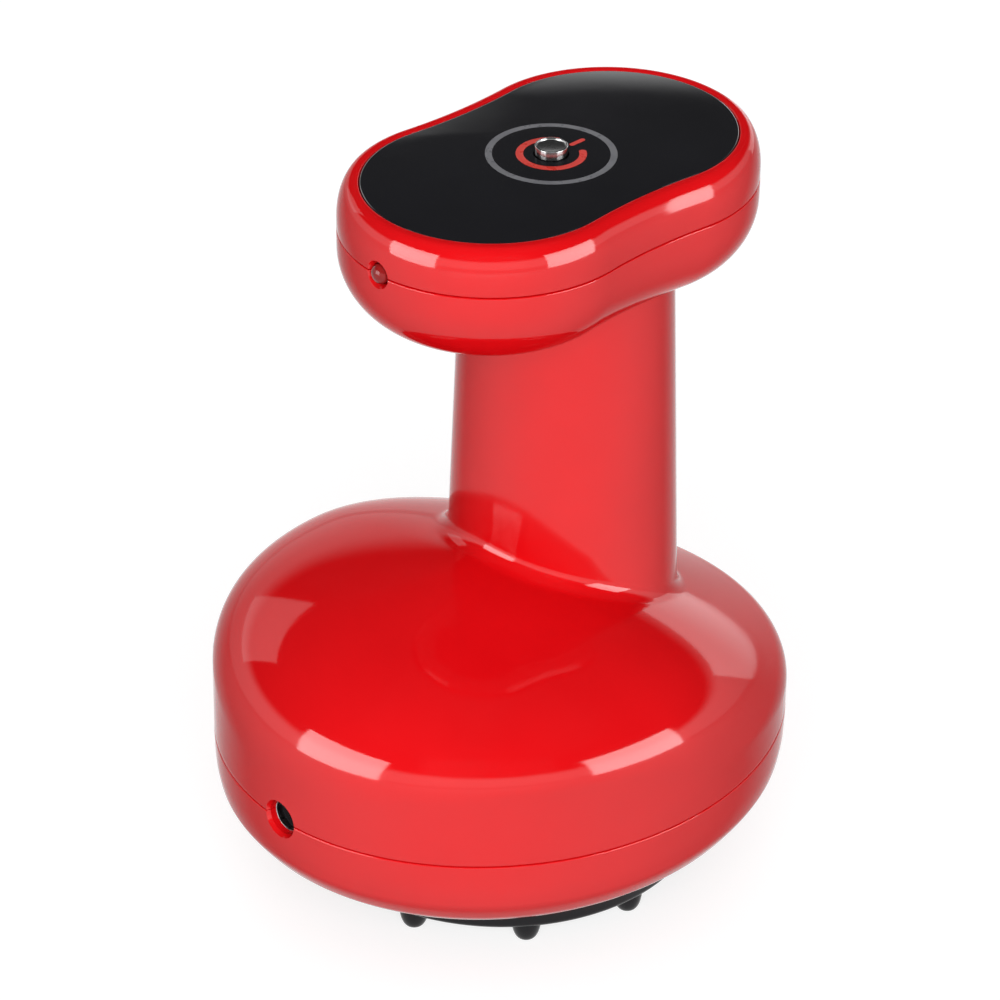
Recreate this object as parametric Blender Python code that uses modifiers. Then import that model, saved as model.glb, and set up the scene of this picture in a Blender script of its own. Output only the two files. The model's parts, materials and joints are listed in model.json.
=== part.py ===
"""Electric cupping massager: an oval domed base with a round plate of nubs under it, a neck that holds
the battery, and a peanut-shaped head with a control panel and one button.

Metres, +Z up. The origin is the middle of the nubs' tips, where the massager stands. +Y runs from the
front, with the charging socket and the lamp, to the back, and X runs across.
"""
import math

import bmesh
import bpy
from mathutils import Matrix, Vector

# Fits that all pieces share
GAP = 0.0003
CLOSE_GAP = 0.00015
OVERRUN = 0.001
EMBED = 0.0005
SHELL_WALL = 0.0022

# Base
BASE_LENGTH = 0.100
BASE_WIDTH = 0.091
BASE_SEAM_HEIGHT = 0.0264
SHOULDER_HEIGHT = 0.0333
DOME_HEIGHT = 0.0588
DOME_APEX_SETBACK = 0.0094
APEX_ROUNDING = 0.0005
SHOULDER_FILLET = 0.007
FLOOR_THICKNESS = 0.0022

# Neck
NECK_SETBACK = 0.0137
NECK_TOP_RADIUS = 0.01745
NECK_DRAFT = math.radians(1.9)
FOOT_FILLET = 0.0027

# Head
HEAD_SETBACK = 0.0096
PANEL_HEIGHT = 0.126
PANEL_LENGTH = 0.0679
PANEL_WIDTH = 0.0409
PANEL_WAIST = 0.0393
PANEL_THICKNESS = 0.0015
PANEL_EDGE = 0.0003
HEAD_DEPTH = 0.023
HEAD_SEAM_DEPTH = 0.0078
HEAD_BULGE = 0.00365
HEAD_RIM = 0.00107
TOP_TURN_HEIGHT = 0.006
BOTTOM_TURN_HEIGHT = 0.012
BOTTOM_TURN_WIDTH = 0.0125
LEDGE_WIDTH = 0.0072
LEDGE_THICKNESS = 0.002

# Massage plate and its nubs
NUB_REACH = 0.0039
NUB_RADIUS = 0.0025
NUB_TIP_RADIUS = 0.001
NUB_SEAT_DEPTH = 0.0027
NUB_CIRCLE = 0.0304
NUB_COUNT = 10
PLATE_RADIUS = 0.0339
PLATE_THICKNESS = 0.0075
PLATE_PROUD = 0.0057
PLATE_EDGE = 0.0012
CUP_MOUTH_RADIUS = 0.027
CUP_CEILING_RADIUS = 0.0234
CUP_DEPTH = 0.0051
CUP_LIP = 0.0006

# Light, filter and nozzle in the middle of the plate
LENS_RADIUS = 0.0121
LENS_FLANGE_RADIUS = 0.0142
LENS_FLANGE_THICKNESS = 0.001
FILTER_RADIUS = 0.007
FILTER_WELL_DEPTH = 0.0023
FILTER_CAP_THICKNESS = 0.0007
FILTER_SPONGE_THICKNESS = 0.001
FILTER_HOLE_RADIUS = 0.0008
FILTER_HOLE_CIRCLE = 0.0042
FILTER_HOLE_COUNT = 6
NOZZLE_RADIUS = 0.003
NOZZLE_FLANGE_RADIUS = 0.0056
NOZZLE_FLANGE_THICKNESS = 0.0009
NOZZLE_STEM = 0.0076
NOZZLE_BRANCH_RISE = 0.0051
BARB_RADIUS = 0.0019
BARB_BORE = 0.0009
BARB_LENGTH = 0.0045
LIGHT_BOARD_RADIUS = 0.0165
LIGHT_BOARD_HOLE = 0.0065
BOARD_THICKNESS = 0.0012
LAMP_CHIP_SIZE = 0.003
LAMP_CHIP_HEIGHT = 0.0011
LAMP_CHIP_CIRCLE = 0.0105
LAMP_CHIP_COUNT = 6

# Screws
SCREW_RADIUS = 0.0012
SCREW_HEAD_RADIUS = 0.0024
SCREW_HEAD_HEIGHT = 0.0014
SCREW_SOCKET_RADIUS = 0.001
SCREW_SOCKET_DEPTH = 0.0007
POST_RADIUS = 0.0032
PLATE_SCREW_LENGTH = 0.0065
PLATE_SCREW_CIRCLE = 0.0295
PLATE_SCREW_ANGLES = (18, 162, 234, 306)
BASE_SCREW_LENGTH = 0.0105
BASE_SCREW_CIRCLE = 0.0309
BASE_SCREW_ANGLES = (0, 54, 126, 180)
BASE_BOSS_RADIUS = 0.004
BASE_BOSS_HEIGHT = 0.0017
NECK_SCREW_LENGTH = 0.0085
NECK_SCREW_CIRCLE = 0.0133
NECK_POST_RADIUS = 0.0026
NECK_POST_LENGTH = 0.010
COVER_SCREW_LENGTH = 0.0095
COVER_SCREW_INSET = 0.0036

# Power button and its switch
BUTTON_RADIUS = 0.00262
BUTTON_PROUD = 0.0016
BUTTON_DISH = 0.0004
BUTTON_EDGE = 0.0003
BUTTON_FLANGE_RADIUS = 0.0038
BUTTON_FLANGE_THICKNESS = 0.001
BUTTON_STEM_RADIUS = 0.0015
BUTTON_STEM_LENGTH = 0.0018
BUTTON_TRAVEL = 0.0005
SWITCH_SIZE = 0.006
SWITCH_HEIGHT = 0.0035
PLUNGER_RADIUS = 0.0017
PLUNGER_LENGTH = 0.0022
PLUNGER_DEPTH = 0.0011
BUTTON_BOARD_LENGTH = 0.034
BUTTON_BOARD_WIDTH = 0.020
BOARD_POST_RADIUS = 0.002
BOARD_POST_INSET = 0.003

# Indicator lamp
LAMP_RADIUS = 0.0015
LAMP_LENGTH = 0.0036
LAMP_COLLAR_RADIUS = 0.00195
LAMP_COLLAR_LENGTH = 0.001
LAMP_HOLE_RADIUS = 0.0018
LAMP_SINK_RADIUS = 0.00235
LAMP_SINK_DEPTH = 0.0008

# Charging socket
JACK_HOLE_RADIUS = 0.003
JACK_SINK_RADIUS = 0.0036
JACK_SINK_DEPTH = 0.0008
JACK_WIDTH = 0.009
JACK_HEIGHT = 0.011
JACK_LENGTH = 0.0115
JACK_BORE_RADIUS = 0.00275
JACK_BORE_DEPTH = 0.009
JACK_PIN_RADIUS = 0.001
JACK_PIN_LENGTH = 0.0075

# Battery
CELL_RADIUS = 0.0092
CELL_LENGTH = 0.065
CELL_TOP_ROOM = 0.0005
FOAM_WALL = 0.0052
FOAM_LENGTH = 0.032
FOAM_DROP = 0.012
FOAM_NOTCH_WIDTH = 0.0044
FOAM_NOTCH_WALL = 0.0013

# Vacuum pump
MOTOR_FRONT_GAP = 0.0023
MOTOR_AXIS_HEIGHT = 0.0285
MOTOR_RADIUS = 0.012
MOTOR_FACE_X = 0.0015
MOTOR_LENGTH = 0.0305
MOTOR_CAP_RADIUS = 0.004
MOTOR_CAP_LENGTH = 0.001
MOTOR_BEARING_DEPTH = 0.004
SHAFT_RADIUS = 0.001
SHAFT_REACH = 0.0073
CASE_SIDE = 0.020
CASE_FLOOR = 0.0035
CASE_WALL = 0.003
CASE_TOP_HEIGHT = 0.038
CASE_BOTTOM_HEIGHT = 0.018
HUB_RADIUS = 0.0034
HUB_LENGTH = 0.004
HUB_WEB = 0.0004
CRANK_PIN_RADIUS = 0.0012
CRANK_PIN_LENGTH = 0.0048
CRANK_THROW = 0.0006
ROD_RING_RADIUS = 0.0044
ROD_THICKNESS = 0.0032
ROD_STEM_WIDTH = 0.0028
ROD_DISC_RADIUS = 0.0032
ROD_DISC_THICKNESS = 0.001
DIAPHRAGM_RADIUS = 0.0082
DIAPHRAGM_THICKNESS = 0.001
DIAPHRAGM_DISH = 0.0012
PUMP_HEAD_HEIGHT = 0.006
PUMP_CHAMBER_RADIUS = 0.0056
PUMP_CHAMBER_DEPTH = 0.0024
PUMP_PORT_RISE = 0.002
CRADLE_THICKNESS = 0.0016
CRADLE_WIDTH = 0.011
CRADLE_INSETS = (0.006, 0.016)
PAD_WIDTH = 0.006
PAD_LENGTH = 0.005

# Release valve
VALVE_X = 0.0275
VALVE_SETBACK = 0.0125
VALVE_SIDE = 0.013
VALVE_BOTTOM_HEIGHT = 0.017
VALVE_HEIGHT = 0.017
VALVE_BORE_RADIUS = 0.0029
VALVE_BORE_DEPTH = 0.013
VALVE_SEAT_RADIUS = 0.001
VALVE_PORT_RISE = 0.0025
VALVE_PLUNGER_LENGTH = 0.0078
VALVE_CAP_THICKNESS = 0.0013
VALVE_PAD_RADIUS = 0.0025
VALVE_PAD_OFFSET = (0.0025, 0.0035)
SPRING_WIRE_RADIUS = 0.00025
SPRING_TURNS = 4

# Hoses and leads
HOSE_WALL = 0.0007
PUMP_HOSE_REACH = 0.010
VALVE_HOSE_REACH = 0.007
LEAD_RADIUS = 0.0009
LEAD_STEP = 0.005

# Main board
MAIN_BOARD_WIDTH = 0.027
MAIN_BOARD_LENGTH = 0.023
MAIN_BOARD_BACK_GAP = 0.0055
MAIN_BOARD_HEIGHT = 0.017
MAIN_BOARD_POST_INSET = 0.0025
CHIP_SIZE = 0.007
CHIP_HEIGHT = 0.0012
INDUCTOR_RADIUS = 0.004
INDUCTOR_HEIGHT = 0.0042

# Shares and counts that shape the curves
BASE_WALL_SHARES = (
    (0.0, 0.775), (0.07, 0.838), (0.17, 0.893), (0.30, 0.940), (0.54, 0.988), (0.77, 0.998), (1.0, 1.0),
)
FLANK_CURVE_SHARES = (3.41, 1.03)
BACK_CURVE_SHARES = (1.0, 1.37)
FRONT_CURVE_SHARES = (2.92, 1.34)
OUTLINE_SIDES = 44
LARGE_SIDES = 28
MEDIUM_SIDES = 16
SMALL_SIDES = 10
TURN_STEPS = 4
DOME_STEPS = 10
FILLET_STEPS = 3
HOSE_SIDES = 8
DENSE_STEPS = 160
BISECTIONS = 30

# Heights and places that follow from the sizes above
UNDERSIDE_HEIGHT = NUB_REACH + PLATE_PROUD
PLATE_TOP_HEIGHT = NUB_REACH + PLATE_THICKNESS
CUP_CEILING_HEIGHT = NUB_REACH + CUP_DEPTH
RECESS_HEIGHT = PLATE_TOP_HEIGHT + GAP
FLOOR_TOP_HEIGHT = RECESS_HEIGHT + FLOOR_THICKNESS
HEAD_SEAM_HEIGHT = PANEL_HEIGHT - HEAD_SEAM_DEPTH
HEAD_BOTTOM_HEIGHT = PANEL_HEIGHT - HEAD_DEPTH
PAN_FLOOR_HEIGHT = HEAD_BOTTOM_HEIGHT + SHELL_WALL
LEDGE_HEIGHT = PANEL_HEIGHT - PANEL_THICKNESS - GAP
BUTTON_FLANGE_TOP = PANEL_HEIGHT - PANEL_THICKNESS - GAP
BUTTON_STEM_BOTTOM = BUTTON_FLANGE_TOP - BUTTON_FLANGE_THICKNESS - BUTTON_STEM_LENGTH
PLUNGER_TOP = BUTTON_STEM_BOTTOM - GAP
SWITCH_TOP = PLUNGER_TOP - PLUNGER_LENGTH + PLUNGER_DEPTH
SWITCH_BOTTOM = SWITCH_TOP - SWITCH_HEIGHT
BUTTON_BOARD_TOP = SWITCH_BOTTOM - GAP
BUTTON_BOARD_BOTTOM = BUTTON_BOARD_TOP - BOARD_THICKNESS
LENS_TOP_HEIGHT = RECESS_HEIGHT + LENS_FLANGE_THICKNESS
NOZZLE_FLANGE_HEIGHT = LENS_TOP_HEIGHT + GAP
NOZZLE_SHOULDER = NOZZLE_FLANGE_HEIGHT + NOZZLE_FLANGE_THICKNESS + NOZZLE_STEM
NOZZLE_BRANCH_HEIGHT = NOZZLE_FLANGE_HEIGHT + NOZZLE_FLANGE_THICKNESS + NOZZLE_BRANCH_RISE
LIGHT_BOARD_HEIGHT = FLOOR_TOP_HEIGHT + GAP
BASE_BOSS_TOP = FLOOR_TOP_HEIGHT + BASE_BOSS_HEIGHT
BASE_POST_BOTTOM = BASE_BOSS_TOP + GAP
BASE_SCREW_SEAT = RECESS_HEIGHT + GAP + SCREW_HEAD_HEIGHT
MOTOR_OFFSET = BASE_LENGTH / 2 - SHELL_WALL - JACK_LENGTH - MOTOR_FRONT_GAP - MOTOR_RADIUS
MAIN_BOARD_SETBACK = BASE_LENGTH / 2 - SHELL_WALL - MAIN_BOARD_BACK_GAP - MAIN_BOARD_LENGTH
PUMP_X = MOTOR_FACE_X + GAP + CASE_SIDE / 2
PUMP_HEAD_BOTTOM = CASE_TOP_HEIGHT + GAP + DIAPHRAGM_THICKNESS + GAP
VALVE_TOP = VALVE_BOTTOM_HEIGHT + VALVE_HEIGHT
VALVE_BORE_BOTTOM = VALVE_TOP - VALVE_BORE_DEPTH
VALVE_PLUNGER_BOTTOM = VALVE_BORE_BOTTOM + GAP
HOSE_RADIUS = BARB_RADIUS + GAP + HOSE_WALL

UP = Vector((0, 0, 1))
ALONG_X = Vector((1, 0, 0))
ALONG_Y = Vector((0, 1, 0))
FINISHES = {
    "red_gloss": ((0.70, 0.012, 0.016), 0.12, 0.0),
    "black_gloss": ((0.012, 0.012, 0.013), 0.08, 0.0),
    "brushed_steel": ((0.62, 0.62, 0.63), 0.25, 1.0),
    "dark_red_lens": ((0.35, 0.01, 0.01), 0.1, 0.0),
    "milky_lamp": ((0.80, 0.80, 0.78), 0.2, 0.0),
    "board_green": ((0.03, 0.20, 0.08), 0.45, 0.0),
    "black_part": ((0.02, 0.02, 0.02), 0.5, 0.0),
    "grey_plastic": ((0.30, 0.30, 0.31), 0.5, 0.0),
    "white_plastic": ((0.75, 0.75, 0.73), 0.45, 0.0),
    "zinc_screw": ((0.50, 0.50, 0.50), 0.35, 1.0),
    "cell_sleeve": ((0.05, 0.16, 0.45), 0.35, 0.0),
    "foam_grey": ((0.10, 0.10, 0.10), 0.95, 0.0),
    "rubber_black": ((0.015, 0.015, 0.015), 0.7, 0.0),
    "silicone_clear": ((0.65, 0.66, 0.66), 0.3, 0.0),
    "lead_grey": ((0.15, 0.15, 0.16), 0.5, 0.0),
}


def clear_scene():
    """Remove every object that the file starts with."""
    for item in list(bpy.data.objects):
        bpy.data.objects.remove(item, do_unlink=True)


def add_collection(name):
    """A new collection in the scene."""
    group = bpy.data.collections.new(name)
    bpy.context.scene.collection.children.link(group)
    return group


def add_material(name):
    """A Principled material from the table of finishes."""
    colour, roughness, metallic = FINISHES[name]
    material = bpy.data.materials.new(name)
    material.use_nodes = True
    shader = material.node_tree.nodes["Principled BSDF"]
    shader.inputs["Base Color"].default_value = (*colour, 1.0)
    shader.inputs["Roughness"].default_value = roughness
    shader.inputs["Metallic"].default_value = metallic
    material.diffuse_color = (*colour, 1.0)
    return material


clear_scene()
PARTS = add_collection("electric_cupping_massager")
CUTTERS = add_collection("cutters")
MATERIALS = {name: add_material(name) for name in FINISHES}


def add_object(name, shape, finish=None):
    """An object from a bmesh: a part where it has a finish, and otherwise a cutter."""
    mesh = bpy.data.meshes.new(name)
    shape.to_mesh(mesh)
    shape.free()
    item = bpy.data.objects.new(name, mesh)
    if finish:
        PARTS.objects.link(item)
        mesh.materials.append(MATERIALS[finish])
        mesh.shade_smooth()
        mesh.set_sharp_from_angle(angle=math.radians(40))
    else:
        CUTTERS.objects.link(item)
        item.hide_render = True
        item.display_type = "WIRE"
    return item


def combine(item, other, operation):
    """Cut another object out of this one, or join it to this one."""
    boolean = item.modifiers.new(other.name, "BOOLEAN")
    boolean.operation = operation
    boolean.object = other
    boolean.solver = "EXACT"


def cut(item, *cutters):
    for cutter in cutters:
        combine(item, cutter, "DIFFERENCE")


def join(item, *others):
    for other in others:
        combine(item, other, "UNION")


def fill_box(shape, low, high):
    """Add a box between two corners to a bmesh."""
    low, high = Vector(low), Vector(high)
    corners = bmesh.ops.create_cube(shape, size=1.0)["verts"]
    middle = (low + high) / 2
    for corner in corners:
        corner.co = middle + Vector(a * b for a, b in zip(corner.co, high - low))


def fill_rod(shape, radius, start, end, sides=SMALL_SIDES, end_radius=None):
    """Add a cylinder, or a cone, between two points to a bmesh."""
    start, end = Vector(start), Vector(end)
    along = end - start
    turn = along.to_track_quat("Z", "Y").to_matrix().to_4x4()
    place = Matrix.Translation((start + end) / 2) @ turn
    bmesh.ops.create_cone(
        shape, cap_ends=True, segments=sides, radius1=radius,
        radius2=radius if end_radius is None else end_radius, depth=along.length, matrix=place,
    )


def box(name, low, high, finish=None):
    shape = bmesh.new()
    fill_box(shape, low, high)
    return add_object(name, shape, finish)


def rod(name, radius, start, end, finish=None, sides=SMALL_SIDES, end_radius=None):
    shape = bmesh.new()
    fill_rod(shape, radius, start, end, sides, end_radius)
    return add_object(name, shape, finish)


def rods(name, radius, ends, sides=SMALL_SIDES):
    """One cutter of several cylinders, each given by its two ends."""
    shape = bmesh.new()
    for start, end in ends:
        fill_rod(shape, radius, start, end, sides)
    return add_object(name, shape)


def turned(name, profile, finish=None, place=(0, 0, 0), axis=UP, sides=MEDIUM_SIDES):
    """A profile of (radius, height) points turned round an axis. It runs down the outer side, and closes
    on itself unless both its ends lie on the axis."""
    shape = bmesh.new()
    points = [shape.verts.new((radius, 0, height)) for radius, height in profile]
    for first, second in zip(points, points[1:]):
        shape.edges.new((first, second))
    if profile[0][0] > 0:
        shape.edges.new((points[-1], points[0]))
    item = add_object(name, shape, finish)
    item.location = place
    item.rotation_euler = axis.to_track_quat("Z", "Y").to_euler()
    screw = item.modifiers.new("turn", "SCREW")
    screw.axis = "Z"
    screw.steps = sides
    screw.render_steps = sides
    screw.use_merge_vertices = True
    screw.merge_threshold = 0.00001
    screw.use_smooth_shade = True
    return item


def loft(name, rings, finish=None, ends="caps"):
    """A surface through rings of equally many points, run anticlockwise from below. Its ends get caps,
    stay open, or meet where the rings come back round to the first."""
    shape = bmesh.new()
    rows = [[shape.verts.new(point) for point in ring] for ring in rings]
    pairs = list(zip(rows, rows[1:]))
    if ends == "meet":
        pairs.append((rows[-1], rows[0]))
    if ends == "caps":
        shape.faces.new(list(reversed(rows[0])))
        shape.faces.new(rows[-1])
    for lower, upper in pairs:
        for index in range(len(lower)):
            after = (index + 1) % len(lower)
            shape.faces.new((lower[index], lower[after], upper[after], upper[index]))
    if ends != "open":
        bmesh.ops.recalc_face_normals(shape, faces=shape.faces)
    return add_object(name, shape, finish)


def circle(radius, centre, height, sides=OUTLINE_SIDES):
    """Points round a level circle."""
    angles = [2 * math.pi * index / sides for index in range(sides)]
    return [
        Vector((centre[0] + radius * math.cos(angle), centre[1] + radius * math.sin(angle), height))
        for angle in angles
    ]


def on_circle(radius, degrees, height=0.0):
    """A point on a circle round the origin's axis."""
    angle = math.radians(degrees)
    return Vector((radius * math.cos(angle), radius * math.sin(angle), height))


def post(name, centre, radius, level, surface, sides=SMALL_SIDES):
    """A round post from a flat end at one height to a shell, where each of its corners has its own."""
    flat = circle(radius, centre, level, sides)
    seated = [Vector((point.x, point.y, surface(point.x, point.y))) for point in flat]
    rings = [flat, seated] if seated[0].z > level else [seated, flat]
    return loft(name, rings)


def bend(start, start_way, end, end_way, straight, reach, count):
    """Points of a route that leaves and arrives straight, with a cubic curve between."""
    first = start + start_way * straight
    last = end + end_way * straight
    handles = (first, first + start_way * reach, last + end_way * reach, last)
    points = [start]
    for index in range(count + 1):
        share = index / count
        rest = 1 - share
        weights = (rest ** 3, 3 * rest ** 2 * share, 3 * rest * share ** 2, share ** 3)
        points.append(sum((handle * weight for handle, weight in zip(handles, weights)), Vector()))
    points.append(end)
    return points


def tube_rings(points, radius, sides):
    """Rings round a route, turned as little as the route allows."""
    ways = [(after - before).normalized() for before, after in zip(points, points[1:])]
    side = ways[0].orthogonal().normalized()
    rings = []
    for index, point in enumerate(points):
        before = ways[max(0, index - 1)]
        after = ways[min(index, len(ways) - 1)]
        way = (before + after).normalized()
        side = (side - way * side.dot(way)).normalized()
        other = way.cross(side)
        angles = [2 * math.pi * step / sides for step in range(sides)]
        rings.append([point + (side * math.cos(a) + other * math.sin(a)) * radius for a in angles])
    return rings


def hose(name, points, inner_radius, outer_radius, finish, sides=HOSE_SIDES):
    """An open-ended tube with its bore."""
    outside = tube_rings(points, outer_radius, sides)
    inside = tube_rings(points, inner_radius, sides)
    return loft(name, outside + inside[::-1], finish, ends="meet")


def smooth_route(points, step):
    """Points about one step apart on a smooth curve through a route's own points."""
    points = [Vector(point) for point in points]
    before = [2 * points[0] - points[1]] + points
    route = []
    for index in range(len(points) - 1):
        a, b, c = before[index], points[index], points[index + 1]
        d = points[index + 2] if index + 2 < len(points) else 2 * c - b
        count = max(1, round((c - b).length / step))
        for part in range(count):
            t = part / count
            curve = (2 * b + (c - a) * t + (2 * a - 5 * b + 4 * c - d) * t ** 2
                     + (3 * b - a - 3 * c + d) * t ** 3) / 2
            route.append(curve)
    route.append(points[-1])
    return route


def lead(name, points, finish="lead_grey"):
    """A wire as a bevelled curve with filled caps."""
    route = smooth_route(points, LEAD_STEP)
    curve = bpy.data.curves.new(name, "CURVE")
    curve.dimensions = "3D"
    curve.bevel_depth = LEAD_RADIUS
    curve.bevel_resolution = 2
    curve.use_fill_caps = True
    curve.materials.append(MATERIALS[finish])
    spline = curve.splines.new("POLY")
    spline.points.add(len(route) - 1)
    for place, point in zip(spline.points, route):
        place.co = (*point, 1.0)
    item = bpy.data.objects.new(name, curve)
    PARTS.objects.link(item)
    return item


# Outlines of the base and the dome

def base_share(height):
    """How wide the base's wall is at a height, as a share of its full width."""
    level = (height - UNDERSIDE_HEIGHT) / (BASE_SEAM_HEIGHT - UNDERSIDE_HEIGHT)
    level = min(max(level, 0.0), 1.0)
    for (low, first), (high, second) in zip(BASE_WALL_SHARES, BASE_WALL_SHARES[1:]):
        if level <= high:
            return first + (second - first) * (level - low) / (high - low)
    return 1.0


def base_outline(height, inset=0.0):
    """Points round the base at a height, or that far inside it."""
    share = base_share(height)
    across = BASE_WIDTH / 2 * share - inset
    along = BASE_LENGTH / 2 * share - inset
    angles = [2 * math.pi * index / OUTLINE_SIDES for index in range(OUTLINE_SIDES)]
    return [Vector((across * math.cos(a), along * math.sin(a), height)) for a in angles]


def fullness(level, curve):
    """How far out a dome's curve still is at a level from 0 at the shoulder to 1 at the apex."""
    power, roundness = curve
    return max(0.0, 1 - level ** power) ** (1 / roundness)


def dome_covers(x, y, level):
    """Whether a point in plan lies inside the dome's section at a level."""
    apex = -DOME_APEX_SETBACK
    centre = apex * level
    half_width = BASE_WIDTH / 2 * fullness(level, FLANK_CURVE_SHARES)
    back = apex + (BASE_LENGTH / 2 - apex) * fullness(level, BACK_CURVE_SHARES)
    front = apex - (apex + BASE_LENGTH / 2) * fullness(level, FRONT_CURVE_SHARES)
    reach = back - centre if y > centre else centre - front
    return (x / half_width) ** 2 + ((y - centre) / reach) ** 2 < 1


def dome_height(x, y):
    """The height of the dome's outer face over a point in plan, with its apex rounded."""
    low, high = 0.0, 1.0
    for _ in range(BISECTIONS):
        middle = (low + high) / 2
        if dome_covers(x, y, middle):
            low = middle
        else:
            high = middle
    drop = (DOME_HEIGHT - SHOULDER_HEIGHT) * (1 - low)
    return DOME_HEIGHT - math.hypot(drop, APEX_ROUNDING)


# Outlines of the head

def peanut_arcs():
    """Lobe radius, lobe centre, waist radius, waist centre and the angle where the arcs meet."""
    lobe = PANEL_WIDTH / 2
    lobe_centre = (PANEL_LENGTH - PANEL_WIDTH) / 2
    half_waist = PANEL_WAIST / 2
    waist = (half_waist ** 2 + lobe_centre ** 2 - lobe ** 2) / (2 * (lobe - half_waist))
    waist_centre = half_waist + waist
    return lobe, lobe_centre, waist, waist_centre, math.atan2(lobe_centre, waist_centre)


def head_outline(offset, height):
    """Points round the head's peanut outline, offset outwards from the panel's edge."""
    lobe, lobe_centre, waist, waist_centre, meet = peanut_arcs()
    lobe_steps = OUTLINE_SIDES * 3 // 8
    waist_steps = OUTLINE_SIDES // 2 - lobe_steps
    half = []
    for index in range(lobe_steps):
        angle = -meet + (math.pi + 2 * meet) * index / lobe_steps
        reach = lobe + offset
        half.append((reach * math.cos(angle), lobe_centre + reach * math.sin(angle)))
    for index in range(waist_steps):
        angle = meet - 2 * meet * index / waist_steps
        reach = waist - offset
        half.append((reach * math.cos(angle) - waist_centre, reach * math.sin(angle)))
    points = half + [(-x, -y) for x, y in half]
    return [Vector((x, HEAD_SETBACK + y, height)) for x, y in points]


def head_offset(x, y):
    """How far a point in plan lies outside the panel's edge, negative inside."""
    lobe, lobe_centre, waist, waist_centre, meet = peanut_arcs()
    x, y = abs(x), abs(y - HEAD_SETBACK)
    beside_waist = (waist_centre - x) * math.tan(meet) > y
    if beside_waist:
        return waist - math.hypot(waist_centre - x, y)
    return math.hypot(x, y - lobe_centre) - lobe


def pan_height(x, y):
    """The height of the head's lower face over a point in plan."""
    reach = 1 - (HEAD_BULGE - head_offset(x, y)) / BOTTOM_TURN_WIDTH
    reach = min(max(reach, 0.0), 1.0)
    return HEAD_BOTTOM_HEIGHT + BOTTOM_TURN_HEIGHT * (1 - math.sqrt(1 - reach ** 2))


# Housing

def neck_radius(height):
    return NECK_TOP_RADIUS + (HEAD_BOTTOM_HEIGHT - height) * math.tan(NECK_DRAFT)


def foot_profile(way):
    """Where the neck meets the dome along a way out from the neck, with the fillet's points from the
    dome up to the neck, as (distance from the neck's axis, height)."""
    def outside(distance):
        return dome_height(way.x * distance, NECK_SETBACK + way.y * distance)

    height = DOME_HEIGHT
    for _ in range(BISECTIONS):
        height = (height + outside(neck_radius(height))) / 2
    distance = neck_radius(height)
    slope = math.atan2(outside(distance + FOOT_FILLET) - height, FOOT_FILLET)
    corner = math.pi / 2 - slope
    tangent = FOOT_FILLET * math.tan((math.pi - corner) / 2)
    low = distance + tangent * math.cos(slope)
    first = Vector((low, outside(low)))
    last = Vector((neck_radius(height + tangent), height + tangent))
    return round_corner(first, Vector((distance, height)), last, corner, FILLET_STEPS + 1)


def round_corner(first, corner, last, angle, steps):
    """Points of the arc that touches the corner's two sides at the first and last points."""
    weight = math.sin(angle / 2)
    points = []
    for index in range(steps + 1):
        t = index / steps
        shares = ((1 - t) ** 2, 2 * t * (1 - t) * weight, t ** 2)
        points.append((first * shares[0] + corner * shares[1] + last * shares[2]) / sum(shares))
    return points


def dome_profile(way, start, end):
    """Points up the wall from the seam and over the dome to the neck's fillet, evenly spaced, with the
    corner at the shoulder rounded where the dome leaves the wall at an angle."""
    dense = []
    for index in range(1, DENSE_STEPS + 1):
        distance = start - (start - end) * (index / DENSE_STEPS) ** 3
        height = dome_height(way.x * distance, NECK_SETBACK + way.y * distance)
        dense.append(Vector((distance, height)))
    shoulder = Vector((start, SHOULDER_HEIGHT))
    near = next(point for point in dense if (point - shoulder).length > SHOULDER_FILLET / 8)
    turn = math.atan2(start - near.x, near.y - SHOULDER_HEIGHT)
    tangent = SHOULDER_FILLET * math.tan(turn / 2)
    dense = [point for point in dense if (point - shoulder).length > tangent]
    low = shoulder - Vector((0, tangent))
    arc = round_corner(low, shoulder, dense[0], math.pi - turn, DENSE_STEPS // 8)
    seam = Vector((start, BASE_SEAM_HEIGHT + CLOSE_GAP / 2))
    return spaced([seam] + arc + dense[1:], DOME_STEPS)


def spaced(points, steps):
    """Points at even steps along a line of points, without its last one."""
    lengths = [0.0]
    for before, after in zip(points, points[1:]):
        lengths.append(lengths[-1] + (after - before).length)
    chosen = []
    place = 0
    for step in range(steps):
        wanted = lengths[-1] * step / steps
        while lengths[place + 1] < wanted:
            place += 1
        share = (wanted - lengths[place]) / (lengths[place + 1] - lengths[place])
        chosen.append(points[place].lerp(points[place + 1], share))
    return chosen


def body_column(rim_point):
    """Points of the outer face from the seam up the dome and the neck, over one point of the rim."""
    out = Vector((rim_point.x, rim_point.y - NECK_SETBACK))
    reach = out.length
    way = out.normalized()
    foot = foot_profile(way)
    profile = dome_profile(way, reach, foot[0].x) + foot
    top = pan_height(way.x * NECK_TOP_RADIUS, NECK_SETBACK + way.y * NECK_TOP_RADIUS) + OVERRUN
    profile.append(Vector((neck_radius((foot[-1].y + top) / 2), (foot[-1].y + top) / 2)))
    profile.append(Vector((neck_radius(top), top)))
    return [
        Vector((way.x * distance, NECK_SETBACK + way.y * distance, height)) for distance, height in profile
    ]


def screw_hole(name, head_place, way, length):
    """A cutter for a screw's thread, below the seat of its head."""
    return rod(name, SCREW_RADIUS + CLOSE_GAP, head_place, head_place + way * (length + GAP))


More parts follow.
